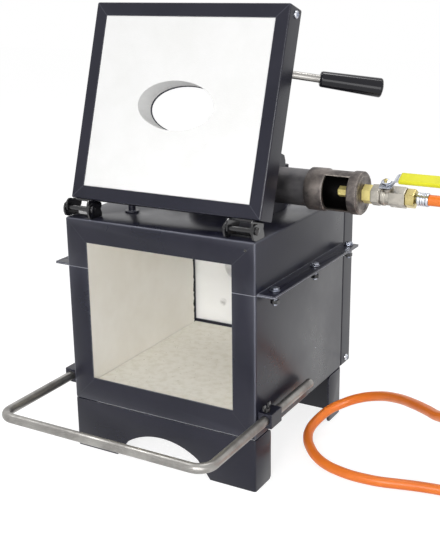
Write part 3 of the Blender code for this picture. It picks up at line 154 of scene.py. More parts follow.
class NodeSheet:
    """A node tree with short calls for adding and joining nodes.

    Its place is the socket of the coordinates that its patterns are laid out in, where it has any.
    """

    MIX_FIRST_COLOUR = 6
    MIX_SECOND_COLOUR = 7
    MIX_COLOUR_RESULT = 2

    def __init__(self, tree: bpy.types.NodeTree) -> None:
        """Start on an empty tree.

        Args:
            tree: The tree that the nodes go into.
        """
        self.tree = tree
        self.place: Socket | None = None
        self.tree.nodes.clear()

    def add(self, kind: str, **values: object) -> bpy.types.Node:
        """Add a node.

        Args:
            kind: The node's type, without its ShaderNode prefix.
            values: Properties of the node by name.

        Returns:
            The new node.
        """
        prefix = "" if kind.startswith("NodeGroup") else "ShaderNode"
        node = self.tree.nodes.new(prefix + kind)
        for name, value in values.items():
            setattr(node, name, value)
        return node

    def feed(self, socket: Socket, source: Value) -> None:
        """Join an output to a socket, or set the socket's value.

        Args:
            socket: The input socket.
            source: An output socket or a plain value.
        """
        if isinstance(source, bpy.types.NodeSocket):
            self.tree.links.new(source, socket)
        else:
            socket.default_value = source

    def math(self, operation: str, first: Value, second: Value = 0.0) -> Socket:
        """Add a Math node and return its result.

        Args:
            operation: The Math node's operation.
            first: The first value or socket.
            second: The second value or socket.

        Returns:
            The output socket.
        """
        node = self.add("Math", operation=operation)
        self.feed(node.inputs[0], first)
        self.feed(node.inputs[1], second)
        return node.outputs[0]

    def span(self, value: Value, low: Value, high: Value, start: float = 0.0,
             end: float = 1.0) -> Socket:
        """Map a value from one span to another, held within it.

        Args:
            value: The value or socket.
            low: Where the span starts.
            high: Where the span ends.
            start: What low becomes.
            end: What high becomes.

        Returns:
            The output socket.
        """
        node = self.add("MapRange")
        for index, part in enumerate((value, low, high, start, end)):
            self.feed(node.inputs[index], part)
        return node.outputs[0]

    def blend(self, share: Value, first: Value, second: Value) -> Socket:
        """Mix two colours.

        Args:
            share: How much of the second colour, 0 to 1.
            first: The first colour or socket.
            second: The second colour or socket.

        Returns:
            The output socket.
        """
        node = self.add("Mix", data_type="RGBA")
        self.feed(node.inputs[0], share)
        self.feed(node.inputs[self.MIX_FIRST_COLOUR], first)
        self.feed(node.inputs[self.MIX_SECOND_COLOUR], second)
        return node.outputs[self.MIX_COLOUR_RESULT]

    def measure(self, operation: str, first: Value, second: Value) -> Socket:
        """Return the number that two vectors give.

        Args:
            operation: DOT_PRODUCT or DISTANCE.
            first: The first vector or socket.
            second: The second vector or socket.

        Returns:
            The output socket.
        """
        node = self.add("VectorMath", operation=operation)
        self.feed(node.inputs[0], first)
        self.feed(node.inputs[1], second)
        return node.outputs["Value"]

    def axes(self, vector: Value) -> tuple[Socket, Socket, Socket]:
        """Split a vector and return its three parts.

        Args:
            vector: The vector's socket.

        Returns:
            The sockets of x, y and z.
        """
        node = self.add("SeparateXYZ")
        self.feed(node.inputs[0], vector)
        return tuple(node.outputs[axis] for axis in "XYZ")

    def noise(self, scale: Value, detail: float = 2.0, roughness: float = 0.5) -> Socket:
        """Add a noise texture and return its value.

        Args:
            scale: The noise's scale, per metre.
            detail: The noise's detail.
            roughness: The noise's roughness.

        Returns:
            The Factor output.
        """
        node = self.add("TexNoise")
        self.feed(node.inputs["Vector"], self.place)
        self.feed(node.inputs["Scale"], scale)
        self.feed(node.inputs["Detail"], detail)
        self.feed(node.inputs["Roughness"], roughness)
        return node.outputs[0]

    def shared(self, group: SharedGroup, **values: float) -> bpy.types.Node:
        """Place a shared group.

        Args:
            group: Which group.
            values: Input values by name, with underscores for blanks.

        Returns:
            The group's node.
        """
        node = self.add("Group", node_tree=bpy.data.node_groups[group.value])
        self.feed(node.inputs["Coordinates"], self.place)
        for name, value in values.items():
            node.inputs[name.replace("_", " ")].default_value = value
        return node

    def seen_directly(self) -> Socket:
        """Mask the rays that show a thing, straight on, mirrored or through glass.

        Returns:
            The mask's socket.
        """
        path = self.add("LightPath")
        return self.math("MAXIMUM", path.outputs["Is Camera Ray"],
                         self.math("MAXIMUM", path.outputs["Is Glossy Ray"],
                                   path.outputs["Is Transmission Ray"]))


def new_group(group: SharedGroup, inputs: Sequence[tuple[str, float]], outputs: Sequence[str]
              ) -> tuple[NodeSheet, bpy.types.Node, bpy.types.Node]:
    """Make a shared group that takes coordinates and numbers, and gives numbers.

    Args:
        group: Which group it is.
        inputs: Name and default of each number that it takes besides the coordinates.
        outputs: Name of each number that it gives.

    Returns:
        The sheet of its nodes, the group's input node and its output node.
    """
    tree = bpy.data.node_groups.new(group.value, "ShaderNodeTree")
    tree.interface.new_socket("Coordinates", in_out="INPUT", socket_type="NodeSocketVector")
    for label, default in inputs:
        socket = tree.interface.new_socket(label, in_out="INPUT", socket_type="NodeSocketFloat")
        socket.default_value = default
    for label in outputs:
        tree.interface.new_socket(label, in_out="OUTPUT", socket_type="NodeSocketFloat")
    sheet = NodeSheet(tree)
    given = sheet.add("NodeGroupInput")
    sheet.place = given.outputs["Coordinates"]
    return sheet, given, sheet.add("NodeGroupOutput")


def build_edge_wear_and_highlight() -> None:
    """Build the group that finds edges for wear and painted highlights, with a ragged border."""
    unbent, bent, fully_worn = 0.99, 0.80, 0.60
    sheet, given, result = new_group(
        SharedGroup.EDGE_WEAR_AND_HIGHLIGHT, [("Radius", 0.001), ("Raggedness", 300.0), ("Unworn", 0.42)],
        ["Mask"])
    bevel = sheet.add("Bevel", samples=4)
    sheet.feed(bevel.inputs["Radius"], given.outputs["Radius"])
    facing = sheet.add("NewGeometry").outputs["Normal"]
    edge = sheet.span(sheet.measure("DOT_PRODUCT", bevel.outputs[0], facing), unbent, bent)
    ragged = sheet.noise(given.outputs["Raggedness"], 3.0)
    worn = sheet.span(ragged, given.outputs["Unworn"], fully_worn)
    sheet.feed(result.inputs["Mask"], sheet.math("MULTIPLY", edge, worn))


def build_grain() -> None:
    """Build the group of fine grain with slow clouds, for roughness, bump and tint."""
    sheet, given, result = new_group(
        SharedGroup.GRAIN, [("Fine Scale", 900.0), ("Cloud Scale", 12.0)], ["Fine", "Clouds"])
    sheet.feed(result.inputs["Fine"], sheet.noise(given.outputs["Fine Scale"]))
    sheet.feed(result.inputs["Clouds"],
               sheet.noise(given.outputs["Cloud Scale"], detail=4.0, roughness=0.6))


def build_dust() -> None:
    """Build the group that lays thin dust on faces that look up."""
    steep, level = 0.55, 0.95
    bare, dusty = 0.45, 0.75
    sheet, given, result = new_group(SharedGroup.DUST, [("Scale", 60.0)], ["Mask"])
    _, _, rise = sheet.axes(sheet.add("NewGeometry").outputs["Normal"])
    upward = sheet.span(rise, steep, level)
    patches = sheet.noise(given.outputs["Scale"], 5.0)
    sheet.feed(result.inputs["Mask"],
               sheet.math("MULTIPLY", upward, sheet.span(patches, bare, dusty)))


def build_specks() -> None:
    """Build the group of small scattered specks of uneven size, missing from many cells."""
    first_cell_with_speck = 0.55
    sheet, given, result = new_group(SharedGroup.SPECKS, [("Scale", 160.0), ("Size", 0.16)],
                                     ["Mask"])
    cells = sheet.add("TexVoronoi", feature="F1")
    sheet.feed(cells.inputs["Vector"], sheet.place)
    sheet.feed(cells.inputs["Scale"], given.outputs["Scale"])
    split = sheet.add("SeparateColor")
    sheet.feed(split.inputs[0], cells.outputs["Color"])
    size = sheet.math("MULTIPLY", given.outputs["Size"],
                      sheet.span(split.outputs[0], first_cell_with_speck, 1.0))
    sheet.feed(result.inputs["Mask"],
               sheet.math("LESS_THAN", cells.outputs["Distance"], size))


def build_shader_groups() -> None:
    """Build every shared shader node group once."""
    build_edge_wear_and_highlight()
    build_grain()
    build_dust()
    build_specks()


def rgba(colour: Colour) -> tuple[float, float, float, float]:
    """Return a colour with full alpha."""
    return (*colour, 1.0)


class Mark(Protocol):
    """A mark that covers part of a finish with its own colour."""

    colour: Colour

    def mask(self, sheet: NodeSheet) -> Socket:
        """Return a mask of where the mark lies.

        Args:
            sheet: The material's nodes.

        Returns:
            The mask's socket.
        """


@dataclass(frozen=True)
class Mitre:
    """The faint joints that run from a square frame's outer corners to its opening.

    The two edges of each direction lie at low and high, along x and along up, and the frame's
    face lies at plane, along facing.
    """

    low: Pair
    high: Pair
    plane: float
    up: Point = UP
    facing: Point = BACK
    reach: float = 0.0340
    width: float = 0.0008
    sharp_share: float = 0.4
    depth: float = 0.0020
    colour: Colour = (0.024, 0.026, 0.036)

    def mask(self, sheet: NodeSheet) -> Socket:
        """Return a mask of the four joints.

        Args:
            sheet: The material's nodes.

        Returns:
            The mask's socket.
        """
        inward = [self.inside(sheet, direction, low, high)
                  for direction, low, high in zip((RIGHT, self.up), self.low, self.high)]
        apart = sheet.math("ABSOLUTE", sheet.math("SUBTRACT", *inward))
        off_plane = sheet.math("ABSOLUTE", sheet.math(
            "SUBTRACT", sheet.measure("DOT_PRODUCT", sheet.place, self.facing), self.plane))
        on_band = sheet.math("MULTIPLY", sheet.math("LESS_THAN", inward[0], self.reach),
                             sheet.math("LESS_THAN", off_plane, self.depth))
        line = sheet.span(apart, self.width, self.width * self.sharp_share)
        return sheet.math("MULTIPLY", on_band, line)

    def inside(self, sheet: NodeSheet, direction: Point, low: float, high: float) -> Socket:
        """Return how far inside the nearer of two opposite edges a point lies.

        Args:
            sheet: The material's nodes.
            direction: The direction from one edge to the other.
            low: Where the first edge is.
            high: Where the second edge is.

        Returns:
            The distance's socket.
        """
        reading = sheet.measure("DOT_PRODUCT", sheet.place, direction)
        return sheet.math("MINIMUM", sheet.math("SUBTRACT", reading, low),
                          sheet.math("SUBTRACT", high, reading))


@dataclass(frozen=True)
class PaintedFoldHighlight:
    """Painted highlights on the rounded folds round the front and rear of a square piece."""

    colour: Colour
    flat: float = 0.99
    folded: float = 0.85
    level: float = 0.05
    turned: float = 0.15

    def mask(self, sheet: NodeSheet) -> Socket:
        """Return a mask of the faces that point neither along an axis nor across y.

        Args:
            sheet: The material's nodes.

        Returns:
            The mask's socket.
        """
        along, back, up = (sheet.math("ABSOLUTE", part) for part in
                           sheet.axes(sheet.add("TexCoord").outputs["Normal"]))
        flattest = sheet.math("MAXIMUM", along, sheet.math("MAXIMUM", back, up))
        return sheet.math("MULTIPLY", sheet.span(flattest, self.flat, self.folded),
                          sheet.span(back, self.level, self.turned))


@dataclass(frozen=True)
class Smudge:
    """One soft, ragged smudge, placed in the row frame."""

    spot: Point
    radius: float
    core_share: float = 0.25
    ripples: float = 0.8
    ragged: Pair = (0.25, 0.58)
    colour: Colour = (0.16, 0.15, 0.14)

    def mask(self, sheet: NodeSheet) -> Socket:
        """Return a mask of the smudge.

        Args:
            sheet: The material's nodes.

        Returns:
            The mask's socket.
        """
        ragged = sheet.span(sheet.noise(self.ripples / self.radius, 3.0), *self.ragged)
        away = sheet.measure("DISTANCE", sheet.place, self.spot)
        return sheet.math("MULTIPLY", ragged,
                          sheet.span(away, self.radius, self.radius * self.core_share))


@dataclass(frozen=True)
class PaintedBoreShade:
    """Painted shade on the inside of a bore that runs along x, with the bore's axis at y and z."""

    axis: Pair
    radius: float
    unshaded_past: float = 0.0008
    black_past: float = 0.0002
    colour: Colour = (0.010, 0.009, 0.009)

    def mask(self, sheet: NodeSheet) -> Socket:
        """Return a mask of what lies inside the bore's radius.

        Args:
            sheet: The material's nodes.

        Returns:
            The mask's socket.
        """
        flattened = sheet.add("Mapping")
        sheet.feed(flattened.inputs["Vector"], sheet.place)
        sheet.feed(flattened.inputs["Scale"], (0.0, 1.0, 1.0))
        away = sheet.measure("DISTANCE", flattened.outputs[0], (0.0, *self.axis))
        return sheet.span(away, self.radius + self.unshaded_past, self.radius + self.black_past)


@dataclass(frozen=True)
class PaintedGapShade:
    """Painted shade of the gap at a board's rear end: a ragged dark rim."""

    end: float
    reach: float = 0.0090
    ripples: float = 150.0
    border_share: float = 0.12
    colour: Colour = (0.010, 0.009, 0.009)

    def mask(self, sheet: NodeSheet) -> Socket:
        """Return a mask of the rim.

        Args:
            sheet: The material's nodes.

        Returns:
            The mask's socket.
        """
        depth = sheet.measure("DOT_PRODUCT", sheet.place, BACK)
        ragged = sheet.math("MULTIPLY", sheet.noise(self.ripples, 4.0), self.reach)
        return sheet.span(sheet.math("ADD", depth, ragged), self.end,
                          self.end + self.reach * self.border_share)


@dataclass(frozen=True)
class Seam:
    """The bare cut edges along a level joint, painted light as the worn edges are, partly as a
    painted highlight.
    """

    height: float
    width: float = 0.0005
    sharp_share: float = 0.6

    def mask(self, sheet: NodeSheet) -> Socket:
        """Return a mask of the joint.

        Args:
            sheet: The material's nodes.

        Returns:
            The mask's socket.
        """
        _, _, rise = sheet.axes(sheet.place)
        away = sheet.math("ABSOLUTE", sheet.math("SUBTRACT", rise, self.height))
        return sheet.span(away, self.width, self.width * self.sharp_share)


@dataclass(frozen=True)
class Finish:
    """A surface finish; its material is made once and shared by the pieces that have it."""

    name: str
    slot: str
    colour: Colour
    roughness: float
    second_colour: Colour
    metallic: float = 0.0
    roughness_spread: float = 0.10
    fine_scale: float = 900.0
    cloud_scale: float = 12.0
    cloud_low: float = 0.40
    cloud_high: float = 0.62
    bump: float = 0.10
    bump_depth: float = 0.0002
    speck_colour: Colour | None = None
    speck_scale: float = 160.0
    speck_size: float = 0.16
    dust_colour: Colour | None = None
    dust_scale: float = 60.0
    dust: float = 0.0
    marks: tuple[Mark, ...] = ()
    # Colour of worn edges; on the powder coats it is also a painted highlight.
    wear_and_highlight_colour: Colour | None = None
    wear_radius: float = 0.0008
    wear_low: float = 0.42
    wear_metallic: float = 0.0
    seam: Seam | None = None
    coat: float = 0.0
    coat_roughness: float = 0.08
    specular: float = 0.5

    def speckle(self, sheet: NodeSheet, colour: Socket,
                height: Socket) -> tuple[Socket, Socket]:
        """Scatter specks, which are small pits, where the finish has any.

        Args:
            sheet: The material's nodes.
            colour: The colour so far.
            height: The height so far.

        Returns:
            The new colour and height.
        """
        if self.speck_colour is None:
            return colour, height
        specks = sheet.shared(SharedGroup.SPECKS, Scale=self.speck_scale,
                              Size=self.speck_size).outputs["Mask"]
        return (sheet.blend(specks, colour, rgba(self.speck_colour)),
                sheet.math("SUBTRACT", height, specks))

    def lay_dust(self, sheet: NodeSheet, colour: Socket,
                 rough: Socket) -> tuple[Socket, Socket]:
        """Lay dust on what faces up, where the finish has any.

        Args:
            sheet: The material's nodes.
            colour: The colour so far.
            rough: The roughness so far.

        Returns:
            The new colour and roughness.
        """
        if self.dust_colour is None:
            return colour, rough
        dusty = sheet.shared(SharedGroup.DUST, Scale=self.dust_scale).outputs["Mask"]
        share = sheet.math("MULTIPLY", dusty, self.dust)
        return (sheet.blend(share, colour, rgba(self.dust_colour)),
                sheet.math("ADD", rough, share))

    def wear_and_highlight_edges(self, sheet: NodeSheet, colour: Socket) -> tuple[Socket, Value]:
        """Wear the edges and the seam bare, where the finish does so; on the powder coats the
        light edge colour is partly a painted highlight.

        Args:
            sheet: The material's nodes.
            colour: The colour so far.

        Returns:
            The new colour, and how metallic the surface is.
        """
        if self.wear_and_highlight_colour is None:
            return colour, self.metallic
        worn = sheet.shared(SharedGroup.EDGE_WEAR_AND_HIGHLIGHT, Radius=self.wear_radius,
                            Unworn=self.wear_low).outputs["Mask"]
        if self.seam is not None:
            worn = sheet.math("MAXIMUM", worn, self.seam.mask(sheet))
        metal: Value = self.metallic
        if self.wear_metallic != self.metallic:
            metal = sheet.span(worn, 0.0, 1.0, self.metallic, self.wear_metallic)
        return sheet.blend(worn, colour, rgba(self.wear_and_highlight_colour)), metal

    def material(self) -> bpy.types.Material:
        """Return the finish's material, made on first use.

        Returns:
            The node-based material.
        """
        known = bpy.data.materials.get(self.name)
        if known is not None:
            return known
        look = bpy.data.materials.new(self.name)
        look.use_nodes = True
        look.diffuse_color = rgba(self.colour)
        sheet = NodeSheet(look.node_tree)
        sheet.place = sheet.add("TexCoord").outputs["Object"]
        grain = sheet.shared(SharedGroup.GRAIN, Fine_Scale=self.fine_scale,
                             Cloud_Scale=self.cloud_scale)
        clouds = sheet.span(grain.outputs["Clouds"], self.cloud_low, self.cloud_high)
        colour = sheet.blend(clouds, rgba(self.colour), rgba(self.second_colour))
        rough = sheet.math("ADD", sheet.math("MULTIPLY", clouds, self.roughness_spread),
                           self.roughness - self.roughness_spread / 2)
        colour, height = self.speckle(sheet, colour, grain.outputs["Fine"])
        colour, rough = self.lay_dust(sheet, colour, rough)
        for mark in self.marks:
            colour = sheet.blend(mark.mask(sheet), colour, rgba(mark.colour))
        colour, metal = self.wear_and_highlight_edges(sheet, colour)
        bump = sheet.add("Bump")
        bump.inputs["Strength"].default_value = self.bump
        bump.inputs["Distance"].default_value = self.bump_depth
        sheet.feed(bump.inputs["Height"], height)
        shader = sheet.add("BsdfPrincipled")
        sheet.feed(shader.inputs["Base Color"], colour)
        sheet.feed(shader.inputs["Roughness"], rough)
        sheet.feed(shader.inputs["Metallic"], metal)
        sheet.feed(shader.inputs["Normal"], bump.outputs[0])
        shader.inputs["Coat Weight"].default_value = self.coat
        shader.inputs["Coat Roughness"].default_value = self.coat_roughness
        shader.inputs["Specular IOR Level"].default_value = self.specular
        sheet.feed(sheet.add("OutputMaterial").inputs["Surface"], shader.outputs[0])
        return look


# The middle of the casing and its front, in the row frame.
LOWER_SHELL_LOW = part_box("lower_shell")[0]
MIDDLE_X = LOWER_SHELL_LOW.x + SIZES.width / 2 + SIZES.flange_width
FRONT_Y = LOWER_SHELL_LOW.y

# The front door's place at rest: how it is turned about its hinge axis, and its upper edge.
DOOR_OPEN = Matrix.Rotation(-SIZES.door_open, 4, "X")
DOOR_AXIS = Vector((MIDDLE_X, FRONT_Y + SIZES.pin_behind_face, SIZES.pin_height))
DOOR_UP, DOOR_BACK = (DOOR_OPEN @ Vector(axis) for axis in (UP, BACK))
DOOR_TOP = DOOR_AXIS.dot(DOOR_UP) - SIZES.pin_above_roof

# The mitre joints of the casing's front and of the open door.
FRAME_MITRE = Mitre(low=(MIDDLE_X - SIZES.width / 2, SIZES.leg_height),
                    high=(MIDDLE_X + SIZES.width / 2, SIZES.roof), plane=FRONT_Y)
DOOR_MITRE = Mitre(
    low=(MIDDLE_X - SIZES.door_width / 2, DOOR_TOP - SIZES.body_height),
    high=(MIDDLE_X + SIZES.door_width / 2, DOOR_TOP),
    plane=DOOR_AXIS.dot(DOOR_BACK) - SIZES.pin_behind_face - SIZES.door_standoff,
    up=tuple(DOOR_UP), facing=tuple(DOOR_BACK), reach=0.0180, colour=(0.050, 0.052, 0.070))

# The finishes.
# On the powder coats the light blue-grey edge colour is partly wear and partly a painted
# highlight.
POWDER_COAT = Finish(
    "Black powder coat", "black_powder_coat", (0.005, 0.0055, 0.015), 0.31,
    second_colour=(0.010, 0.010, 0.021), wear_and_highlight_colour=(0.27, 0.28, 0.33),
    dust_colour=(0.09, 0.09, 0.09), dust=0.04, roughness_spread=0.08, fine_scale=1400.0,
    bump=0.015, bump_depth=0.0001, cloud_scale=9.0, wear_radius=0.0010, wear_low=0.30,
    specular=0.36)
# This coat's brighter edge and split-seam colour is partly bare metal and partly a painted
# highlight.
SEAMED_COAT = replace(POWDER_COAT, name="Powder coat with bare split and painted highlights", seam=Seam(SIZES.split),
                      wear_and_highlight_colour=(0.38, 0.39, 0.44),
                      # The fold mark paints highlights on the casing's rounded folds.
                      marks=(PaintedFoldHighlight((0.13, 0.135, 0.17)), FRAME_MITRE))
MITRED_COAT = replace(POWDER_COAT, name="Powder coat with mitred lip", marks=(DOOR_MITRE,))
BLACK_HARDWARE = Finish(
    "Black hardware", "black_hardware", (0.004, 0.004, 0.005), 0.17,
    second_colour=(0.007, 0.007, 0.009), wear_and_highlight_colour=(0.10, 0.10, 0.11), roughness_spread=0.08,
    fine_scale=1100.0, bump=0.06, cloud_scale=60.0, wear_radius=0.0004, specular=0.40,
    coat=0.50)
BARE_ROD = Finish(
    "Bare drawn bar", "bare_steel_rod", (0.37, 0.36, 0.34), 0.40, metallic=0.92,
    second_colour=(0.22, 0.21, 0.20), roughness_spread=0.22, fine_scale=700.0,
    cloud_scale=26.0, cloud_low=0.36, cloud_high=0.66, bump=0.14)
WALL_BOARD = Finish(
    "Chamber board", "wall_board", (0.90, 0.875, 0.815), 0.88,
    second_colour=(0.85, 0.82, 0.75), speck_colour=(0.64, 0.60, 0.52),
    roughness_spread=0.08, fine_scale=520.0, cloud_scale=10.0, bump=0.35,
    bump_depth=0.0006, speck_scale=190.0, speck_size=0.10, specular=0.25)
# The left lining's rear end is darkened as painted shade of its gap against the rear door.
GAP_SHADED_BOARD = replace(WALL_BOARD, name="Chamber board with painted gap shade",
                        marks=(PaintedGapShade(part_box("left_lining")[1].y),))
FLOOR_BOARD = Finish(
    "Hearth board", "floor_board", (0.92, 0.895, 0.82), 0.90,
    second_colour=(0.845, 0.815, 0.725), speck_colour=(0.44, 0.40, 0.31),
    roughness_spread=0.08, fine_scale=420.0, cloud_scale=85.0, cloud_low=0.44,
    cloud_high=0.64, bump=0.45, bump_depth=0.0008, speck_scale=210.0, speck_size=0.17,
    specular=0.25)
WHITE_BOARD = Finish(
    "White door board", "white_board", (0.90, 0.90, 0.895), 0.90,
    second_colour=(0.87, 0.87, 0.86), speck_colour=(0.80, 0.79, 0.77),
    roughness_spread=0.06, fine_scale=600.0, cloud_scale=14.0, bump=0.30,
    bump_depth=0.0005, speck_scale=150.0, speck_size=0.07, specular=0.25)
SOOTED_BOARD = replace(WHITE_BOARD, name="Sooted door board",
                       marks=(Smudge((-0.1206, 0.1527, 0.1452), 0.0075),))
MILL_SCALE = Finish(
    "Mill scale pipe", "mill_scale", (0.105, 0.102, 0.108), 0.44, metallic=0.70,
    second_colour=(0.170, 0.162, 0.165), wear_and_highlight_colour=(0.34, 0.31, 0.27), wear_metallic=1.0,
    roughness_spread=0.20, fine_scale=500.0, cloud_scale=45.0, cloud_low=0.35,
    cloud_high=0.70, bump=0.25, bump_depth=0.0004)
HEATED_STEEL = Finish(
    "Heat tinted casting", "heated_steel", (0.245, 0.215, 0.197), 0.47, metallic=0.80,
    second_colour=(0.075, 0.066, 0.066), wear_and_highlight_colour=(0.62, 0.56, 0.50), wear_metallic=0.9,
    roughness_spread=0.20, fine_scale=620.0, cloud_scale=60.0, cloud_low=0.36,
    cloud_high=0.64, bump=0.22, bump_depth=0.0003, wear_radius=0.0022, wear_low=0.25)
# The bell's bore is painted near black as shade inside the recess.
BORE_SHADED_STEEL = replace(HEATED_STEEL, name="Heat tinted casting with painted bore shade",
                       marks=(PaintedBoreShade((FRONT_Y + SIZES.middle, SIZES.burner_height),
                                         radius=0.0230),))
BRASS = Finish(
    "Machined brass", "brass", (0.62, 0.52, 0.235), 0.30, metallic=1.0,
    second_colour=(0.46, 0.375, 0.15), roughness_spread=0.12, fine_scale=1500.0,
    cloud_scale=90.0, bump=0.06)
JET_BRASS = replace(BRASS, name="Dull jet brass", colour=(0.80, 0.68, 0.26),
                    second_colour=(0.66, 0.55, 0.20), roughness=0.42, metallic=0.35)
NICKEL = Finish(
    "Nickel plate", "nickel", (0.50, 0.47, 0.415), 0.38, metallic=1.0,
    second_colour=(0.37, 0.35, 0.31), roughness_spread=0.14, fine_scale=1200.0,
    cloud_scale=80.0, bump=0.05)
ZINC = Finish(
    "Bright zinc plate", "zinc", (0.66, 0.68, 0.72), 0.25, metallic=1.0,
    second_colour=(0.50, 0.53, 0.60), roughness_spread=0.14, fine_scale=1200.0,
    cloud_scale=140.0, bump=0.06)
BOLT_ZINC = replace(ZINC, name="Dull zinc bolt", colour=(0.40, 0.42, 0.48),
                    second_colour=(0.26, 0.28, 0.34), roughness=0.32)
BLACK_PLASTIC = Finish(
    "Gloss black grip", "black_plastic", (0.004, 0.004, 0.007), 0.12,
    second_colour=(0.006, 0.006, 0.010), roughness_spread=0.05, fine_scale=300.0,
    cloud_scale=40.0, bump=0.02, specular=0.32)
YELLOW_VINYL = Finish(
    "Yellow vinyl sleeve", "yellow_plastic", (0.82, 0.80, 0.015), 0.34,
    second_colour=(0.76, 0.73, 0.012), roughness_spread=0.08, fine_scale=800.0,
    cloud_scale=30.0, bump=0.05)
ORANGE_HOSE = Finish(
    "Orange hose rubber", "orange_rubber", (0.96, 0.235, 0.030), 0.36,
    second_colour=(0.90, 0.205, 0.026), roughness_spread=0.10, fine_scale=500.0,
    cloud_scale=25.0, bump=0.05)


def round_over(shape: bmesh.types.BMesh, width: float, segments: int,
               edges: Iterable[bmesh.types.BMEdge]) -> None:
    """Bevel edges of a shape.

    Args:
        shape: The shape to change.
        width: The bevel's width.
        segments: Facets across it.
        edges: The edges to bevel.
    """
    bmesh.ops.bevel(shape, geom=list(edges), offset=width, offset_type="OFFSET",
                    segments=segments, profile=0.5, affect="EDGES", clamp_overlap=True,
                    material=-1)


def rounded_box(low: Sequence[float], high: Sequence[float], edge: float,
                segments: int) -> bmesh.types.BMesh:
    """Return a box with rounded edges.

    Args:
        low: Its lowest corner.
        high: Its highest corner.
        edge: The width of the rounding.
        segments: Facets across the rounding.

    Returns:
        The shape.
    """
    low, high = Vector(low), Vector(high)
    shape = bmesh.new()
    bmesh.ops.create_cube(shape, size=1.0)
    bmesh.ops.scale(shape, vec=high - low, verts=shape.verts)
    bmesh.ops.translate(shape, vec=(low + high) / 2, verts=shape.verts)
    round_over(shape, edge, segments, shape.edges)
    return shape


def sharp_edges(shape: bmesh.types.BMesh, degrees: float = 30.0) -> list[bmesh.types.BMEdge]:
    """Return the edges where a closed shape turns more than an angle.

    Args:
        shape: The shape.
        degrees: The angle, in degrees.

    Returns:
        The edges.
    """
    limit = math.radians(degrees)
    return [edge for edge in shape.edges
            if len(edge.link_faces) == 2 and edge.calc_face_angle() > limit]


def corners_of(made: Iterable[object]) -> list[bmesh.types.BMVert]:
    """Return the corners among what a bmesh operator made."""
    return [item for item in made if isinstance(item, bmesh.types.BMVert)]


def edges_of(made: Iterable[object]) -> list[bmesh.types.BMEdge]:
    """Return the edges among what a bmesh operator made."""
    return [item for item in made if isinstance(item, bmesh.types.BMEdge)]


def upright_on(start: Sequence[float], along: Sequence[float]) -> Matrix:
    """Return the move that sets a shape's z axis on a start, along a direction."""
    return Matrix.Translation(Vector(start)) @ \
        Vector(along).to_track_quat("Z", "Y").to_matrix().to_4x4()


def quarter_turn(steps: int, first: int = 0) -> list[float]:
    """Return the angles of a quarter turn in equal steps, from the first one wanted."""
    return [math.pi / 2 * step / steps for step in range(first, steps + 1)]


def lathe(profile: Sequence[Pair], start: Sequence[float], along: Sequence[float],
          steps: int = Facets.MOST) -> bmesh.types.BMesh:
    """Return a turned shape.

    Args:
        profile: Radius and distance along the axis of each corner, closed at the axis or as
            a ring whose last corner is its first.
        start: Where the axis starts.
        along: The axis's direction.
        steps: Facets in a turn.

    Returns:
        The closed shape, with its normals outward.
    """
    shape = bmesh.new()
    corners = [shape.verts.new((radius, 0.0, height)) for radius, height in profile]
    edges = [shape.edges.new(pair) for pair in zip(corners, corners[1:])]
    bmesh.ops.spin(shape, geom=corners + edges, cent=(0.0, 0.0, 0.0), axis=UP,
                   angle=2.0 * math.pi, steps=steps, use_merge=True)
    bmesh.ops.remove_doubles(shape, verts=shape.verts, dist=MERGE)
    bmesh.ops.recalc_face_normals(shape, faces=shape.faces)
    bmesh.ops.transform(shape, matrix=upright_on(start, along), verts=shape.verts)
    return shape


def eased_profile(profile: Sequence[Pair], width: float) -> list[Pair]:
    """Return a turned profile with each outer corner broken by a small rounded chamfer.

    Args:
        profile: Radius and distance of each corner.
        width: The chamfer's width along both sides of a corner.

    Returns:
        The longer profile.
    """
    shortest_side, straight_on, dip_share = 2.2 * width, 0.98, 0.29
    points = [Vector(corner) for corner in profile]
    eased = [tuple(points[0])]
    for before, corner, after in zip(points, points[1:], points[2:]):
        back, onward = before - corner, after - corner
        shorter = min(back.length, onward.length)
        back.normalize()
        onward.normalize()
        if corner.x < MERGE or shorter < shortest_side or \
                abs(back.dot(onward)) > straight_on:
            eased.append(tuple(corner))
            continue
        eased += [tuple(corner + back * width),
                  tuple(corner + (back + onward) * width * dip_share),
                  tuple(corner + onward * width)]
    return eased + [tuple(points[-1])]


def bar_profile(radius: float, length: float, chamfer: float) -> list[Pair]:
    """Return the chamfered profile of a plain bar or disc."""
    return eased_profile([(0.0, length), (radius, length), (radius, 0.0), (0.0, 0.0)], chamfer)


def ring_profile(inner: float, outer: float, length: float, chamfer: float) -> list[Pair]:
    """Return the chamfered profile of a pipe, or of a disc with a hole."""
    return eased_profile([(inner, 0.0), (outer, 0.0), (outer, length), (inner, length),
                          (inner, 0.0)], chamfer)


def hexagon_bar(start: Sequence[float], along: Sequence[float], length: float, flats: float,
                chamfer: float, turn: float = 0.0) -> bmesh.types.BMesh:
    """Return a hexagon bar whose corners are turned down at both ends, as a nut's are.

    Args:
        start: Centre of the near end.
        along: Direction of the bar.
        length: The bar's length.
        flats: Width across flats.
        chamfer: How far the end chamfer reaches along a corner.
        turn: Turn about the bar's own axis.

    Returns:
        The shape.
    """
    radius, corner_rounding = flats / math.sqrt(3.0), flats * 0.012
    shape = bmesh.new()
    bmesh.ops.create_cone(shape, cap_ends=True, segments=6, radius1=radius, radius2=radius,
                          depth=length, matrix=Matrix.Translation((0.0, 0.0, length / 2)))
    uprights = [edge for edge in shape.edges
                if abs(edge.verts[0].co.z - edge.verts[1].co.z) > length / 2]
    round_over(shape, corner_rounding, 1, uprights)
    rims = [edge for edge in sharp_edges(shape)
            if abs(edge.verts[0].co.z - edge.verts[1].co.z) < length / 4]
    round_over(shape, chamfer, 2, rims)
    bmesh.ops.transform(shape, matrix=upright_on(start, along) @ Matrix.Rotation(turn, 4, "Z"),
                        verts=shape.verts)
    return shape


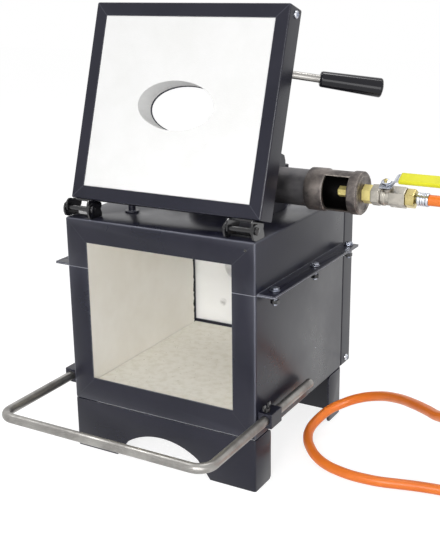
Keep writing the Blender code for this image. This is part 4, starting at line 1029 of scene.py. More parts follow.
def swept(path: Sequence[Vector], radius: float, sides: int,
          chamfer: float) -> bmesh.types.BMesh:
    """Return a round rod swept along a path, by extruding a ring from point to point.

    Args:
        path: The rod's centre line.
        radius: The rod's radius.
        sides: Facets around it.
        chamfer: Chamfer at both ends.

    Returns:
        The closed shape.
    """
    headings = [(after - before).normalized() for before, after in
                zip([path[0], *path[:-1]], [*path[1:], path[-1]])]
    end_size = (radius - chamfer) / radius
    stations = [(path[0] + headings[0] * chamfer, headings[0], 1.0),
                *((point, heading, 1.0) for point, heading in zip(path[1:-1], headings[1:-1])),
                (path[-1] - headings[-1] * chamfer, headings[-1], 1.0),
                (path[-1], headings[-1], end_size)]
    shape = bmesh.new()
    bmesh.ops.create_circle(shape, cap_ends=False, segments=sides, radius=radius - chamfer,
                            matrix=upright_on(path[0], headings[0]))
    edges = shape.edges[:]
    centre, heading, size = path[0], headings[0], end_size
    for point, onward, scale in stations:
        moved = bmesh.ops.extrude_edge_only(shape, edges=edges)["geom"]
        corners = corners_of(moved)
        edges = [edge for edge in edges_of(moved)
                 if edge.verts[0] in corners and edge.verts[1] in corners]
        swing = heading.rotation_difference(onward).to_matrix().to_4x4()
        move = Matrix.Translation(point) @ swing @ Matrix.Scale(scale / size, 4) @ \
            Matrix.Translation(-centre)
        bmesh.ops.transform(shape, matrix=move, verts=corners)
        centre, heading, size = point, onward, scale
    bmesh.ops.holes_fill(shape, edges=[edge for edge in shape.edges if edge.is_boundary],
                         sides=0)
    bmesh.ops.recalc_face_normals(shape, faces=shape.faces)
    return shape


def merged(*shapes: bmesh.types.BMesh) -> bmesh.types.BMesh:
    """Return one shape that holds several, which are freed.

    Args:
        shapes: The shapes.

    Returns:
        The joined shape.
    """
    whole = bmesh.new()
    for shape in shapes:
        carrier = bpy.data.meshes.new("carrier")
        shape.to_mesh(carrier)
        shape.free()
        whole.from_mesh(carrier)
        bpy.data.meshes.remove(carrier)
    return whole


def cad_copy(node: str, edge: float, segments: int = 2,
             degrees: float = 25.0) -> bmesh.types.BMesh:
    """Return a CAD node's shape, merged, with flat faces whole and sharp edges rounded.

    Args:
        node: The node's name.
        edge: Width of the rounding.
        segments: Facets across it.
        degrees: Edges that turn less than this stay as they are.

    Returns:
        The shape, in the row frame.
    """
    flat_enough = math.radians(0.5)
    shape = bmesh.new()
    shape.from_mesh(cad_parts[node].data)
    bmesh.ops.remove_doubles(shape, verts=shape.verts, dist=MERGE)
    bmesh.ops.dissolve_limit(shape, angle_limit=flat_enough, verts=shape.verts,
                             edges=shape.edges)
    round_over(shape, edge, segments, sharp_edges(shape, degrees))
    return shape


def put_in_scene(name: str, data: bpy.types.ID) -> bpy.types.Object:
    """Make an object of a mesh, curve, lamp or camera and put it in the scene.

    Args:
        name: The object's name.
        data: What it shows.

    Returns:
        The object.
    """
    made = bpy.data.objects.new(name, data)
    bpy.context.scene.collection.objects.link(made)
    return made


@dataclass
class Bench:
    """Puts finished pieces in the scene, on the right body and in the right place."""

    offset: Vector
    pieces: list[str] = field(default_factory=list)

    @property
    def shift(self) -> Matrix:
        """The move from the forge's own frame to the row frame."""
        return Matrix.Translation(self.offset)

    def add(self, name: str, shape: bmesh.types.BMesh, finish: Finish, body: Body,
            nodes: Sequence[str] = (), place: Matrix | None = None,
            smooth: float = 32.0, even: bool = True) -> bpy.types.Object:
        """Make a piece of a shape.

        Args:
            name: The piece's name.
            shape: Its shape, which is freed.
            finish: Its finish.
            body: The body that it rides on.
            nodes: The CAD nodes that it stands for.
            place: The move from the shape's frame to the row frame.
            smooth: Edges that turn more than this, in degrees, stay sharp.
            even: Whether flat faces shade flat; a folded sheet's shade rolls towards its folds.

        Returns:
            The piece.
        """
        if place is not None:
            bmesh.ops.transform(shape, matrix=place, verts=shape.verts)
        for face in shape.faces:
            face.smooth = True
        mesh = bpy.data.meshes.new(name)
        shape.to_mesh(mesh)
        shape.free()
        mesh.set_sharp_from_angle(angle=math.radians(smooth))
        mesh.materials.append(finish.material())
        piece = put_in_scene(name, mesh)
        if even:
            weighted = piece.modifiers.new("flat faces shade flat", "WEIGHTED_NORMAL")
            weighted.weight, weighted.keep_sharp = 100, True
        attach(piece, body.value)
        if nodes:
            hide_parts(*nodes)
        self.pieces.append(name)
        LOG.info("%s: %d faces on %s", name, len(mesh.polygons), body.value)
        return piece

    def dress(self, node: str, finish: Finish) -> None:
        """Give a CAD node that stays as it is a finish.

        Args:
            node: The node's name.
            finish: Its finish.
        """
        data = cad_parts[node].data
        data.materials.clear()
        data.materials.append(finish.material())
        LOG.info("%s keeps its CAD shape", node)


@dataclass
class Casing:
    """The two halves of the casing, their lining, the legs and the flange bolts."""

    bench: Bench
    sizes: ForgeSizes = SIZES
    sheet_edge: float = 0.0005
    lining_edge: float = 0.0012
    bolt_diameter: float = 0.0060
    bolt_flats: float = 0.0100
    bolt_head: float = 0.0030
    bolt_turn: float = 0.3
    crown_share: float = 0.42
    crown_flat_share: float = 0.6
    crown_rise: float = 0.0006
    crown_fall: float = 0.0001
    crown_sink: float = 0.0001
    washer: float = 0.0135
    washer_thickness: float = 0.0010
    washer_gaps: float = 1.5
    nut: float = 0.0050
    nut_drop: float = 0.0083
    nut_turn: float = 0.5
    tail: float = 0.0025
    bolt_out: float = 0.0130
    bolt_depth_shares: tuple[float, ...] = (0.10, 0.53, 0.95)
    plug_place: Point = (0.1310, 0.0, 0.3277)
    plug_radius: float = 0.0021
    plug_rise: float = 0.0004
    plug_dish: tuple[Pair, ...] = ((0.0, 0.2), (0.5, 0.25), (0.75, 1.0), (1.0, 0.0),
                                   (1.0, -1.0), (0.0, -1.0))

    def build(self) -> None:
        """Build every piece of the casing."""
        for node, finish in (("lower_shell", SEAMED_COAT), ("upper_shell", SEAMED_COAT),
                             ("front_leg", POWDER_COAT), ("rear_leg", POWDER_COAT)):
            self.bench.add(f"{node}_sheet", cad_copy(node, self.sheet_edge), finish,
                           Body.FORGE, [node], even=False)
        for node, finish in (("left_lining", GAP_SHADED_BOARD), ("right_lining", WALL_BOARD),
                             ("roof_lining", WALL_BOARD), ("hearth_floor", FLOOR_BOARD)):
            self.bench.add(f"{node}_board", cad_copy(node, self.lining_edge), finish,
                           Body.FORGE, [node])
        places = [(side, share) for side in (-1, 1) for share in self.bolt_depth_shares]
        for number, (side, share) in enumerate(places, start=1):
            across = side * (self.sizes.width / 2 + self.bolt_out)
            self.build_bolt(number, across, share * self.sizes.depth)
        self.build_plug()

    def build_plug(self) -> None:
        """Build the small dished plug weld near the front frame's upper right corner."""
        dish = [(self.plug_radius * out, self.plug_rise * up) for out, up in self.plug_dish]
        self.bench.add("frame_plug_weld", lathe(dish, self.plug_place, FORWARD, Facets.FEW),
                       BLACK_HARDWARE, Body.FORGE, place=self.bench.shift)

    def build_bolt(self, number: int, across: float, back: float) -> None:
        """Build one flange bolt with its washer and the black nut low on its shank.

        Args:
            number: The bolt's number.
            across: Its x.
            back: Its y.
        """
        sizes = self.sizes
        washer_bottom = sizes.split + sizes.sheet + self.washer_gaps * sizes.gap
        head_bottom = washer_bottom + self.washer_thickness
        nut_top = sizes.split - sizes.sheet - sizes.gap / 2 - self.nut_drop
        bottom = nut_top - self.nut - self.tail
        shank = bar_profile(self.bolt_diameter / 2, head_bottom - bottom, LIGHT_CHAMFER)
        washer = bar_profile(self.washer / 2, self.washer_thickness, FINEST_CHAMFER)
        crown = self.bolt_flats * self.crown_share
        dome = [(0.0, self.crown_rise),
                (crown * self.crown_flat_share, self.crown_rise - self.crown_fall),
                (crown, 0.0), (0.0, 0.0)]
        crown_bottom = head_bottom + self.bolt_head - self.crown_sink
        shape = merged(
            lathe(shank, (across, back, bottom), UP, Facets.FEW),
            lathe(washer, (across, back, washer_bottom), UP, Facets.SOME),
            lathe(dome, (across, back, crown_bottom), UP, Facets.FEW),
            hexagon_bar((across, back, head_bottom), UP, self.bolt_head, self.bolt_flats,
                        PLAIN_CHAMFER, turn=self.bolt_turn * number))
        self.bench.add(f"flange_bolt_{number}", shape, BOLT_ZINC, Body.FORGE,
                       [f"shell_bolt_{number}"], self.bench.shift)
        nut = hexagon_bar((across, back, nut_top - self.nut), UP, self.nut, self.bolt_flats,
                          PLAIN_CHAMFER, turn=self.nut_turn * number)
        self.bench.add(f"flange_nut_{number}", nut, BLACK_HARDWARE, Body.FORGE,
                       place=self.bench.shift)


@dataclass
class Hinges:
    """The hinge brackets on the roof, their pins and the leaves on the doors."""

    bench: Bench
    sizes: ForgeSizes = SIZES
    edge: float = 0.0006
    pin_diameter: float = 0.0070
    head_diameter: float = 0.0100
    head_length: float = 0.0034
    head_rim_share: float = 0.35
    inner: float = 0.1020
    length: float = 0.0420

    def build(self) -> None:
        """Build the hinges of both doors."""
        ends = (("front", self.sizes.pin_behind_face, Body.FRONT_DOOR, 1),
                ("rear", self.sizes.depth - self.sizes.pin_behind_face, Body.REAR_DOOR, -1))
        for prefix, back, door, facing in ends:
            for side, word in ((-1, "left"), (1, "right")):
                bracket, leaf = f"{prefix}_hinge_bracket_{word}", f"{prefix}_hinge_leaf_{word}"
                self.bench.add(f"{bracket}_plate", cad_copy(bracket, self.edge),
                               BLACK_HARDWARE, Body.FORGE, [bracket])
                self.bench.add(f"{leaf}_strap", cad_copy(leaf, self.edge), BLACK_HARDWARE,
                               door, [leaf])
                self.build_pin(f"{prefix}_hinge_pin_{word}", facing * side, back)

    def build_pin(self, node: str, side: int, back: float) -> None:
        """Build one pin with a domed head at each end.

        Args:
            node: The CAD node that it stands for.
            side: -1 for the left of the forge, 1 for the right.
            back: The pin's y.
        """
        half = self.length / 2 + self.sizes.gap
        head, rim = self.head_diameter / 2, self.head_rim_share
        dome = [(head * math.sin(turn),
                 half + self.head_length * (rim + (1.0 - rim) * math.cos(turn)))
                for turn in quarter_turn(6)]
        upper = [*dome, (head, half), (self.pin_diameter / 2, half)]
        lower = [(across, -along) for across, along in reversed(upper)]
        start = (side * (self.inner + self.length / 2), back, self.sizes.pin_height)
        self.bench.add(f"{node}_round", lathe(upper + lower, start, RIGHT, Facets.SOME),
                       BLACK_HARDWARE, Body.FORGE, [node], self.bench.shift)


@dataclass
class Door:
    """One door: its steel pan, its board, the handle and the screw in its side.

    Heights are measured down from the door's upper edge, and x from its middle.
    """

    bench: Bench
    prefix: str
    body: Body
    pivot: Matrix
    coat: Finish
    board: Finish
    screw_side: int
    sizes: ForgeSizes = SIZES
    sheet_edge: float = 0.0006
    board_edge: float = 0.0010
    thickness: float = 0.0339
    handle_side: float = 0.0967
    handle_drop: float = 0.1897
    handle_angle: float = math.radians(31.0)
    rod_diameter: float = 0.0100
    rod_start_share: float = 0.6
    rod_in_grip: float = 0.0280
    weld_radius: float = 0.0030
    weld_length_share: float = 2.2
    weld_shift_share: float = 0.4
    grip_start: float = 0.0766
    grip_end: float = 0.1580
    grip_near: float = 0.0200
    grip_far: float = 0.0245
    grip_rim: float = 0.0030
    grip_crown: float = 0.0015
    grip_crown_shares: Pair = (0.45, 0.25)
    grip_foot_share: float = 0.3
    screw_drop: float = 0.2554
    screw_diameter: float = 0.0100
    screw_length: float = 0.0035
    screw_rim_share: float = 0.25
    socket_share: float = 0.9
    socket_floor_share: float = 0.35
    screw_lift: float = 0.0002

    @property
    def lining_plane(self) -> float:
        """The y of the door's inner face when it is closed, from its hinge axis."""
        return -(self.sizes.pin_behind_face + self.sizes.door_standoff)

    @property
    def outer_plane(self) -> float:
        """The y of the door's outer face when it is closed, from its hinge axis."""
        return self.lining_plane - self.thickness

    def build(self) -> None:
        """Build every piece of the door."""
        pan, lining = f"{self.prefix}_door_pan", f"{self.prefix}_door_lining"
        self.bench.add(f"{pan}_sheet", cad_copy(pan, self.sheet_edge, degrees=40.0),
                       self.coat, self.body, [pan])
        self.bench.add(f"{lining}_board", cad_copy(lining, self.board_edge), self.board,
                       self.body, [lining])
        root = Vector((self.handle_side, self.outer_plane,
                       -self.sizes.pin_above_roof - self.handle_drop))
        along = Vector((math.cos(self.handle_angle), -math.sin(self.handle_angle), 0.0))
        self.build_rod(root, along)
        self.build_weld(root)
        self.build_grip(root, along)
        self.build_screw()

    def build_rod(self, root: Vector, along: Vector) -> None:
        """Build the slanted rod of the handle.

        Args:
            root: Where the handle's axis meets the door.
            along: The axis's direction.
        """
        radius = self.rod_diameter / 2
        start, end = radius * self.rod_start_share, self.grip_start + self.rod_in_grip
        profile = [(0.0, end), (radius, end), (radius, start), (0.0, start)]
        self.bench.add(f"{self.prefix}_handle_bar", lathe(profile, root, along, Facets.SOME),
                       BARE_ROD, self.body, [f"{self.prefix}_handle_rod"], self.pivot)

    def build_weld(self, root: Vector) -> None:
        """Build the weld bead round the rod's foot, half a flattened ball.

        Args:
            root: Where the handle's axis meets the door.
        """
        radius = self.rod_diameter / 2
        bead = bmesh.new()
        bmesh.ops.create_uvsphere(bead, u_segments=32, v_segments=12, radius=1.0)
        bmesh.ops.scale(bead, verts=bead.verts,
                        vec=(radius * self.weld_length_share, self.weld_radius,
                             radius + self.weld_radius))
        bmesh.ops.translate(bead, verts=bead.verts,
                            vec=root + Vector((radius * self.weld_shift_share, 0.0, 0.0)))
        cut = bmesh.ops.bisect_plane(bead, geom=bead.verts[:] + bead.edges[:] + bead.faces[:],
                                     plane_co=root, plane_no=BACK, clear_outer=True)
        bmesh.ops.holes_fill(bead, edges=edges_of(cut["geom_cut"]), sides=0)
        bmesh.ops.recalc_face_normals(bead, faces=bead.faces)
        self.bench.add(f"{self.prefix}_handle_weld", bead, BLACK_HARDWARE, self.body,
                       place=self.pivot)

    def build_grip(self, root: Vector, along: Vector) -> None:
        """Build the tapered grip, with the hole that the rod goes into.

        Args:
            root: Where the handle's axis meets the door.
            along: The axis's direction.
        """
        length, rim = self.grip_end - self.grip_start, self.grip_rim
        near, far = self.grip_near / 2, self.grip_far / 2
        hole, flare = self.rod_diameter / 2 + self.sizes.gap, rim * self.grip_foot_share
        out_share, fall_share = self.grip_crown_shares
        crown = [(0.0, length), (far * out_share, length - self.grip_crown * fall_share),
                 (far - rim, length - self.grip_crown)]
        corner = [(far - rim + rim * math.sin(turn),
                   length - self.grip_crown - rim * (1.0 - math.cos(turn)))
                  for turn in quarter_turn(6, first=1)]
        foot = [(near, rim), (near - flare, flare), (near - rim, 0.0), (hole, 0.0),
                (hole, self.rod_in_grip), (0.0, self.rod_in_grip)]
        shape = lathe(crown + corner + foot, root + along * self.grip_start, along)
        self.bench.add(f"{self.prefix}_handle_knob", shape, BLACK_PLASTIC, self.body,
                       [f"{self.prefix}_handle_grip"], self.pivot, smooth=50.0)

    def build_screw(self) -> None:
        """Build the domed socket screw in the door's side."""
        head, length, rim = self.screw_diameter / 2, self.screw_length, self.screw_rim_share
        place = (self.screw_side * self.sizes.door_width / 2,
                 (self.lining_plane + self.outer_plane) / 2,
                 -self.sizes.pin_above_roof - self.screw_drop)
        dome = [(head * math.sin(turn), length * (rim + (1.0 - rim) * math.cos(turn)))
                for turn in quarter_turn(8, first=3)]
        socket_floor = length * self.socket_floor_share
        profile = [(0.0, socket_floor), (dome[0][0] * self.socket_share, socket_floor), *dome,
                   (head, self.screw_lift), (0.0, self.screw_lift)]
        self.bench.add(f"{self.prefix}_side_screw",
                       lathe(profile, place, (self.screw_side, 0.0, 0.0), Facets.SOME),
                       ZINC, self.body, [f"{self.prefix}_door_screw"], self.pivot)


@dataclass
class WorkRest:
    """The bent bar, its sleeves, the wing screw and the door stops."""

    bench: Bench
    sizes: ForgeSizes = SIZES
    rod: float = 0.0127
    height: float = 0.1034
    reach: float = 0.1430
    tail: float = 0.1420
    bend: float = 0.0200
    bend_steps: int = 12
    side: float = 0.1553
    sleeve_edge: float = 0.0006
    wing_edge: float = 0.0009
    stop_side: float = 0.0800
    stop_back: float = 0.0650
    stop_diameter: float = 0.0100
    stop_foot: float = 0.0200
    stop_foot_thickness: float = 0.0020

    def build(self) -> None:
        """Build the rest and what holds it, and the two stops."""
        self.build_bar()
        for word in ("left", "right"):
            node = f"rest_sleeve_{word}"
            self.bench.add(f"{node}_block", cad_copy(node, self.sleeve_edge), POWDER_COAT,
                           Body.FORGE, [node])
        self.bench.add("wing_screw_casting",
                       cad_copy("wing_screw", self.wing_edge, segments=3), BLACK_HARDWARE,
                       Body.WING_SCREW, ["wing_screw"])
        self.build_stop("front_door_stop", -self.stop_side, self.stop_back)
        self.build_stop("rear_door_stop", self.stop_side, self.sizes.depth - self.stop_back)

    def build_bar(self) -> None:
        """Build the bar: two straight tails and a rounded front."""
        bend = self.bend
        corner = [(self.side - bend + bend * math.cos(turn),
                   bend - self.reach - bend * math.sin(turn))
                  for turn in quarter_turn(self.bend_steps)]
        half = [(self.side, self.tail), *corner]
        path = half + [(-across, back) for across, back in reversed(half)]
        line = [Vector((across, back, self.height)) for across, back in path]
        self.bench.add("work_rest_bar", swept(line, self.rod / 2, Facets.SOME, PLAIN_CHAMFER),
                       BARE_ROD, Body.WORK_REST, ["work_rest"], self.bench.shift)

    def build_stop(self, node: str, across: float, back: float) -> None:
        """Build one door stop on the roof, a post on a round foot.

        Args:
            node: The CAD node that it stands for.
            across: Its x.
            back: Its y.
        """
        low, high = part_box(node)
        length, radius = high.z - low.z, self.stop_diameter / 2
        foot, thick = self.stop_foot / 2, self.stop_foot_thickness
        profile = eased_profile([(0.0, length), (radius, length), (radius, thick),
                                 (foot, thick), (foot, 0.0), (0.0, 0.0)], PLAIN_CHAMFER)
        self.bench.add(f"{node}_post", lathe(profile, (across, back, low.z), UP, Facets.MANY),
                       POWDER_COAT, Body.FORGE, [node], self.bench.shift)


@dataclass
class Burner:
    """The pipework: elbow, nozzle, mixing tube, bracket, intake bell, end plate and jet."""

    bench: Bench
    sizes: ForgeSizes = SIZES
    pipe: float = 0.0483
    wall: float = 0.0032
    bracket_edge: float = 0.0006
    elbow_diameter: float = 0.0580
    elbow_reach: float = 0.0380
    elbow_bend: float = 0.0300
    elbow_bead: float = 0.0610
    elbow_bead_length: float = 0.0080
    bead_slope_shares: Pair = (0.6, 0.8)
    seat: float = 0.0040
    mixer_end: float = 0.1580
    bell_end: float = 0.2280
    bell_bore: float = 0.0460
    bell_edge: float = 0.0008
    end_plate: float = 0.0040
    jet_diameter: float = 0.0100
    jet_play: float = 0.0003
    jet_start: float = 0.1930
    jet_overlap: float = 0.0005
    jet_nose: float = 0.0012
    jet_bore: float = 0.0018
    jet_bore_depth: float = 0.0050
    jet_tip_flats: float = 0.0122
    jet_tip_start: float = 0.1945
    jet_tip_end: float = 0.2080
    jet_flats: float = 0.0215
    jet_hex_end: float = 0.2400

    def build(self) -> None:
        """Build the burner from the roof to the jet."""
        self.build_elbow()
        start = self.elbow_reach + self.sizes.gap
        ring = ring_profile(self.pipe / 2 - self.wall, self.pipe / 2, self.mixer_end - start,
                            PLAIN_CHAMFER)
        self.bench.add("mixing_pipe", lathe(ring, self.sizes.on_burner(start), RIGHT),
                       MILL_SCALE, Body.FORGE, ["mixing_tube"], self.bench.shift)
        self.bench.dress("burner_nozzle", MILL_SCALE)
        self.bench.add("burner_bracket_plate", cad_copy("burner_bracket", self.bracket_edge),
                       POWDER_COAT, Body.FORGE, ["burner_bracket"])
        self.build_bell()
        self.build_jet()

    def build_elbow(self) -> None:
        """Build the elbow with a thicker bead at each mouth, by spinning a disc."""
        radius, bend = self.elbow_diameter / 2, self.elbow_bend
        centre = Vector((bend, self.sizes.middle, self.sizes.burner_height - bend))
        bottom = self.sizes.roof + self.sizes.gap + self.seat
        arm = bmesh.new()
        bmesh.ops.create_circle(arm, cap_ends=True, segments=Facets.MOST, radius=radius,
                                matrix=Matrix.Translation((0.0, centre.y, centre.z)))
        bmesh.ops.spin(arm, geom=arm.verts[:] + arm.edges[:] + arm.faces[:], cent=centre,
                       axis=BACK, angle=math.pi / 2, steps=16)
        bmesh.ops.recalc_face_normals(arm, faces=arm.faces)
        bead, long = self.elbow_bead / 2, self.elbow_bead_length
        high_share, low_share = self.bead_slope_shares
        down, side = centre.z - bottom, self.elbow_reach - bend
        spigot = [(0.0, down), (radius, down), (radius, long), (bead, long * low_share),
                  (bead, 0.0), (0.0, 0.0)]
        mouth = [(0.0, 0.0), (radius, 0.0), (radius, side - long * low_share),
                 (bead, side - long * high_share), (bead, side), (0.0, side)]
        whole = merged(arm,
                       lathe(eased_profile(spigot, PLAIN_CHAMFER), (0.0, centre.y, bottom), UP),
                       lathe(eased_profile(mouth, PLAIN_CHAMFER), self.sizes.on_burner(bend),
                             RIGHT))
        self.bench.add("elbow_casting", whole, MILL_SCALE, Body.FORGE, ["burner_elbow"],
                       self.bench.shift)

    def build_bell(self) -> None:
        """Build the intake bell, with its window cut clean, and the plate in its end."""
        self.bench.add("intake_bell_casting",
                       cad_copy("intake_bell", self.bell_edge, degrees=50.0), BORE_SHADED_STEEL,
                       Body.FORGE, ["intake_bell"], smooth=40.0)
        ring = ring_profile(self.jet_diameter / 2 + self.jet_play,
                            self.bell_bore / 2 - self.sizes.gap, self.end_plate, LIGHT_CHAMFER)
        place = self.sizes.on_burner(self.bell_end - self.end_plate)
        self.bench.add("intake_end_disc", lathe(ring, place, RIGHT), HEATED_STEEL, Body.FORGE,
                       ["intake_end_plate"], self.bench.shift)

    def build_jet(self) -> None:
        """Build the brass jet: a tube with a small bore and two hexagons."""
        start = self.bell_end + self.sizes.gap
        length = start + self.jet_overlap - self.jet_start
        radius, bore, depth = self.jet_diameter / 2, self.jet_bore / 2, self.jet_bore_depth
        profile = [(0.0, length), (radius, length), (radius, self.jet_nose),
                   (radius - self.jet_nose, 0.0), (bore, 0.0), (bore, depth), (0.0, depth)]
        on_burner = self.sizes.on_burner
        shape = merged(
            lathe(profile, on_burner(self.jet_start), RIGHT, Facets.MANY),
            hexagon_bar(on_burner(self.jet_tip_start), RIGHT,
                        self.jet_tip_end - self.jet_tip_start, self.jet_tip_flats,
                        PLAIN_CHAMFER),
            hexagon_bar(on_burner(start), RIGHT, self.jet_hex_end - start, self.jet_flats,
                        BROAD_CHAMFER))
        self.bench.add("gas_jet_brass", shape, JET_BRASS, Body.FORGE, ["gas_jet"],
                       self.bench.shift)


@dataclass(frozen=True)
class CrimpedFerrule:
    """A ferrule with crimped bands, measured from its neck."""

    length: float
    diameter: float = 0.0174
    neck: float = 0.0110
    cone: float = 0.0030
    depth: float = 0.0008
    bands: tuple[float, ...] = (0.22, 0.44, 0.66)
    band_half: float = 0.0012
    floor_half: float = 0.0004
    edge: Pair = (0.0006, 0.0008)

    def profile(self) -> list[Pair]:
        """Return the ferrule's turned profile.

        Returns:
            The radius and the distance from the neck of each corner.
        """
        radius, floor = self.diameter / 2, self.diameter / 2 - self.depth
        inset, reach = self.edge
        points = [(0.0, 0.0), (self.neck / 2, 0.0), (radius - reach, self.cone - inset),
                  (radius, self.cone)]
        for share in self.bands:
            place = self.cone + share * (self.length - self.cone)
            points += [(radius, place - self.band_half), (floor, place - self.floor_half),
                       (floor, place + self.floor_half), (radius, place + self.band_half)]
        return points + [(radius, self.length - reach), (radius - inset, self.length),
                         (0.0, self.length)]


@dataclass
class Valve:
    """The ball valve, its lever and the fittings of the hose at the valve."""

    bench: Bench
    sizes: ForgeSizes = SIZES
    start: float = 0.2403
    flats: float = 0.0240
    inlet_hex_end: float = 0.2510
    outlet_hex_start: float = 0.2640
    end: float = 0.2850
    ball_diameter: float = 0.0255
    barrel_step: float = 0.0010
    barrel_overlap: float = 0.0020
    ball_shares: tuple[float, ...] = (0.22, 0.28, 0.52, 0.58)
    boss_place: float = 0.2610
    boss_diameter: float = 0.0150
    boss_top: float = 0.0160
    boss_collar: float = 0.0040
    boss_step: float = 0.0010
    lean: float = math.radians(30.0)
    stem_diameter: float = 0.0080
    stem_in_boss: float = 0.0037
    stem_shoulder: float = 0.0172
    stem_thread: float = 0.0050
    stem_top: float = 0.0272
    lever_thickness: float = 0.0020
    lever_width: float = 0.0140
    lever_tail: float = 0.0085
    lever_bend: float = 0.0025
    crank_start: float = 0.0080
    crank_end: float = 0.0155
    lift: float = 0.0130
    lever_end: float = 0.0900
    nut_flats: float = 0.0105
    nut_height: float = 0.0050
    nut_chamfer: float = 0.0007
    nut_turn: float = 0.35
    grip_start: float = 0.0190
    grip_end: float = 0.0950
    grip_width: float = 0.0175
    grip_thickness: float = 0.0062
    grip_rounding: float = 0.0022
    nipple_flats: float = 0.0215
    nipple_end: float = 0.2966
    nipple_chamfer: float = 0.0012
    ferrule_end: float = 0.3135

    @property
    def stem_place(self) -> Matrix:
        """The move from the stem's own frame, with z along the stem, to the forge's frame."""
        return Matrix.Translation(self.sizes.on_burner(self.boss_place)) @ \
            Matrix.Rotation(self.lean, 4, "X")

    def build(self) -> None:
        """Build the valve, its lever and the fittings."""
        self.build_body()
        self.build_lever()
        self.build_fittings()

    def build_body(self) -> None:
        """Build the nickel-plated body with its two hexagons and the stem's boss."""
        ball, slim = self.ball_diameter / 2, self.ball_diameter / 2 - self.barrel_step
        start = self.inlet_hex_end - self.barrel_overlap
        length = self.outlet_hex_start + self.barrel_overlap - start
        rise, on, off, fall = (length * share for share in self.ball_shares)
        barrel = [(0.0, 0.0), (slim, 0.0), (slim, rise), (ball, on), (ball, off), (slim, fall),
                  (slim, length), (0.0, length)]
        outer, top, step = self.boss_diameter / 2, self.boss_top, self.boss_step
        collar = top - self.boss_collar
        boss = [(0.0, top), (outer, top), (outer, collar), (outer - step, collar - step),
                (outer + step, 0.0), (0.0, 0.0)]
        pillar = lathe(eased_profile(boss, FINE_CHAMFER), (0.0, 0.0, 0.0), UP, Facets.MANY)
        bmesh.ops.transform(pillar, matrix=self.stem_place, verts=pillar.verts)
        on_burner = self.sizes.on_burner
        shape = merged(
            hexagon_bar(on_burner(self.start), RIGHT, self.inlet_hex_end - self.start,
                        self.flats, BROAD_CHAMFER),
            hexagon_bar(on_burner(self.outlet_hex_start), RIGHT,
                        self.end - self.outlet_hex_start, self.flats, BROAD_CHAMFER),
            lathe(eased_profile(barrel, FINE_CHAMFER), on_burner(start), RIGHT), pillar)
        self.bench.add("ball_valve_body", shape, NICKEL, Body.FORGE, ["valve_body"],
                       self.bench.shift)

    def build_lever(self) -> None:
        """Build the stem, the cranked strip, the nut and the vinyl sleeve."""
        radius, thread = self.stem_diameter / 2, self.stem_thread / 2
        bottom = self.boss_top - self.stem_in_boss
        stem = eased_profile([(0.0, self.stem_top), (thread, self.stem_top),
                              (thread, self.stem_shoulder), (radius, self.stem_shoulder),
                              (radius, bottom), (0.0, bottom)], LIGHT_CHAMFER)
        low = self.stem_shoulder + self.sizes.gap
        nut_low = low + self.lever_thickness + self.sizes.gap
        middle = low + self.lift + self.lever_thickness / 2
        half_width, half = self.grip_width / 2, self.grip_thickness / 2
        pieces = (
            ("valve_stem", "lever_stem", BRASS,
             lathe(stem, (0.0, 0.0, 0.0), UP, Facets.SOME)),
            ("valve_lever_nut", "lever_nut", ZINC,
             hexagon_bar((0.0, 0.0, nut_low), UP, self.nut_height, self.nut_flats,
                         self.nut_chamfer, self.nut_turn)),
            ("valve_lever_strip", "valve_lever", ZINC, self.lever_strip(low)),
            ("valve_lever_grip", "lever_sleeve", YELLOW_VINYL,
             rounded_box((self.grip_start, -half_width, middle - half),
                         (self.grip_end, half_width, middle + half), self.grip_rounding, 4)))
        for name, node, finish, shape in pieces:
            self.bench.add(name, shape, finish, Body.VALVE_LEVER, [node],
                           self.bench.shift @ self.stem_place)

    def lever_strip(self, low: float) -> bmesh.types.BMesh:
        """Return the cranked strip.

        Args:
            low: Height of its underside at the stem.

        Returns:
            The closed shape, in the stem's frame.
        """
        line = [(-self.lever_tail, low), (self.crank_start, low),
                (self.crank_end, low + self.lift), (self.lever_end, low + self.lift)]
        shape = bmesh.new()
        corners = [shape.verts.new((along, -self.lever_width / 2, height))
                   for along, height in line]
        edges = [shape.edges.new(pair) for pair in zip(corners, corners[1:])]
        made = bmesh.ops.extrude_edge_only(shape, edges=edges)["geom"]
        bmesh.ops.translate(shape, vec=(0.0, self.lever_width, 0.0), verts=corners_of(made))
        bends = [edge for edge in shape.edges if len(edge.link_faces) == 2]
        round_over(shape, self.lever_bend, 5, bends)
        bmesh.ops.recalc_face_normals(shape, faces=shape.faces)
        if sum(face.normal.z for face in shape.faces) < 0.0:
            bmesh.ops.reverse_faces(shape, faces=shape.faces)
        bmesh.ops.solidify(shape, geom=shape.faces[:], thickness=-self.lever_thickness)
        bmesh.ops.recalc_face_normals(shape, faces=shape.faces)
        round_over(shape, FINEST_CHAMFER, 1, sharp_edges(shape, 60.0))
        return shape

    def build_fittings(self) -> None:
        """Build the brass nipple and the crimped ferrule."""
        on_burner, gap = self.sizes.on_burner, self.sizes.gap
        nipple_start, ferrule_start = self.end + gap, self.nipple_end + gap
        nipple = hexagon_bar(on_burner(nipple_start), RIGHT, self.nipple_end - nipple_start,
                             self.nipple_flats, self.nipple_chamfer)
        self.bench.add("hose_nipple_brass", nipple, BRASS, Body.FORGE, ["hose_nipple"],
                       self.bench.shift)
        ferrule = CrimpedFerrule(self.ferrule_end - ferrule_start).profile()
        self.bench.add("hose_ferrule_crimped", lathe(ferrule, on_burner(ferrule_start), RIGHT),
                       ZINC, Body.FORGE, ["hose_ferrule"], self.bench.shift, smooth=45.0)


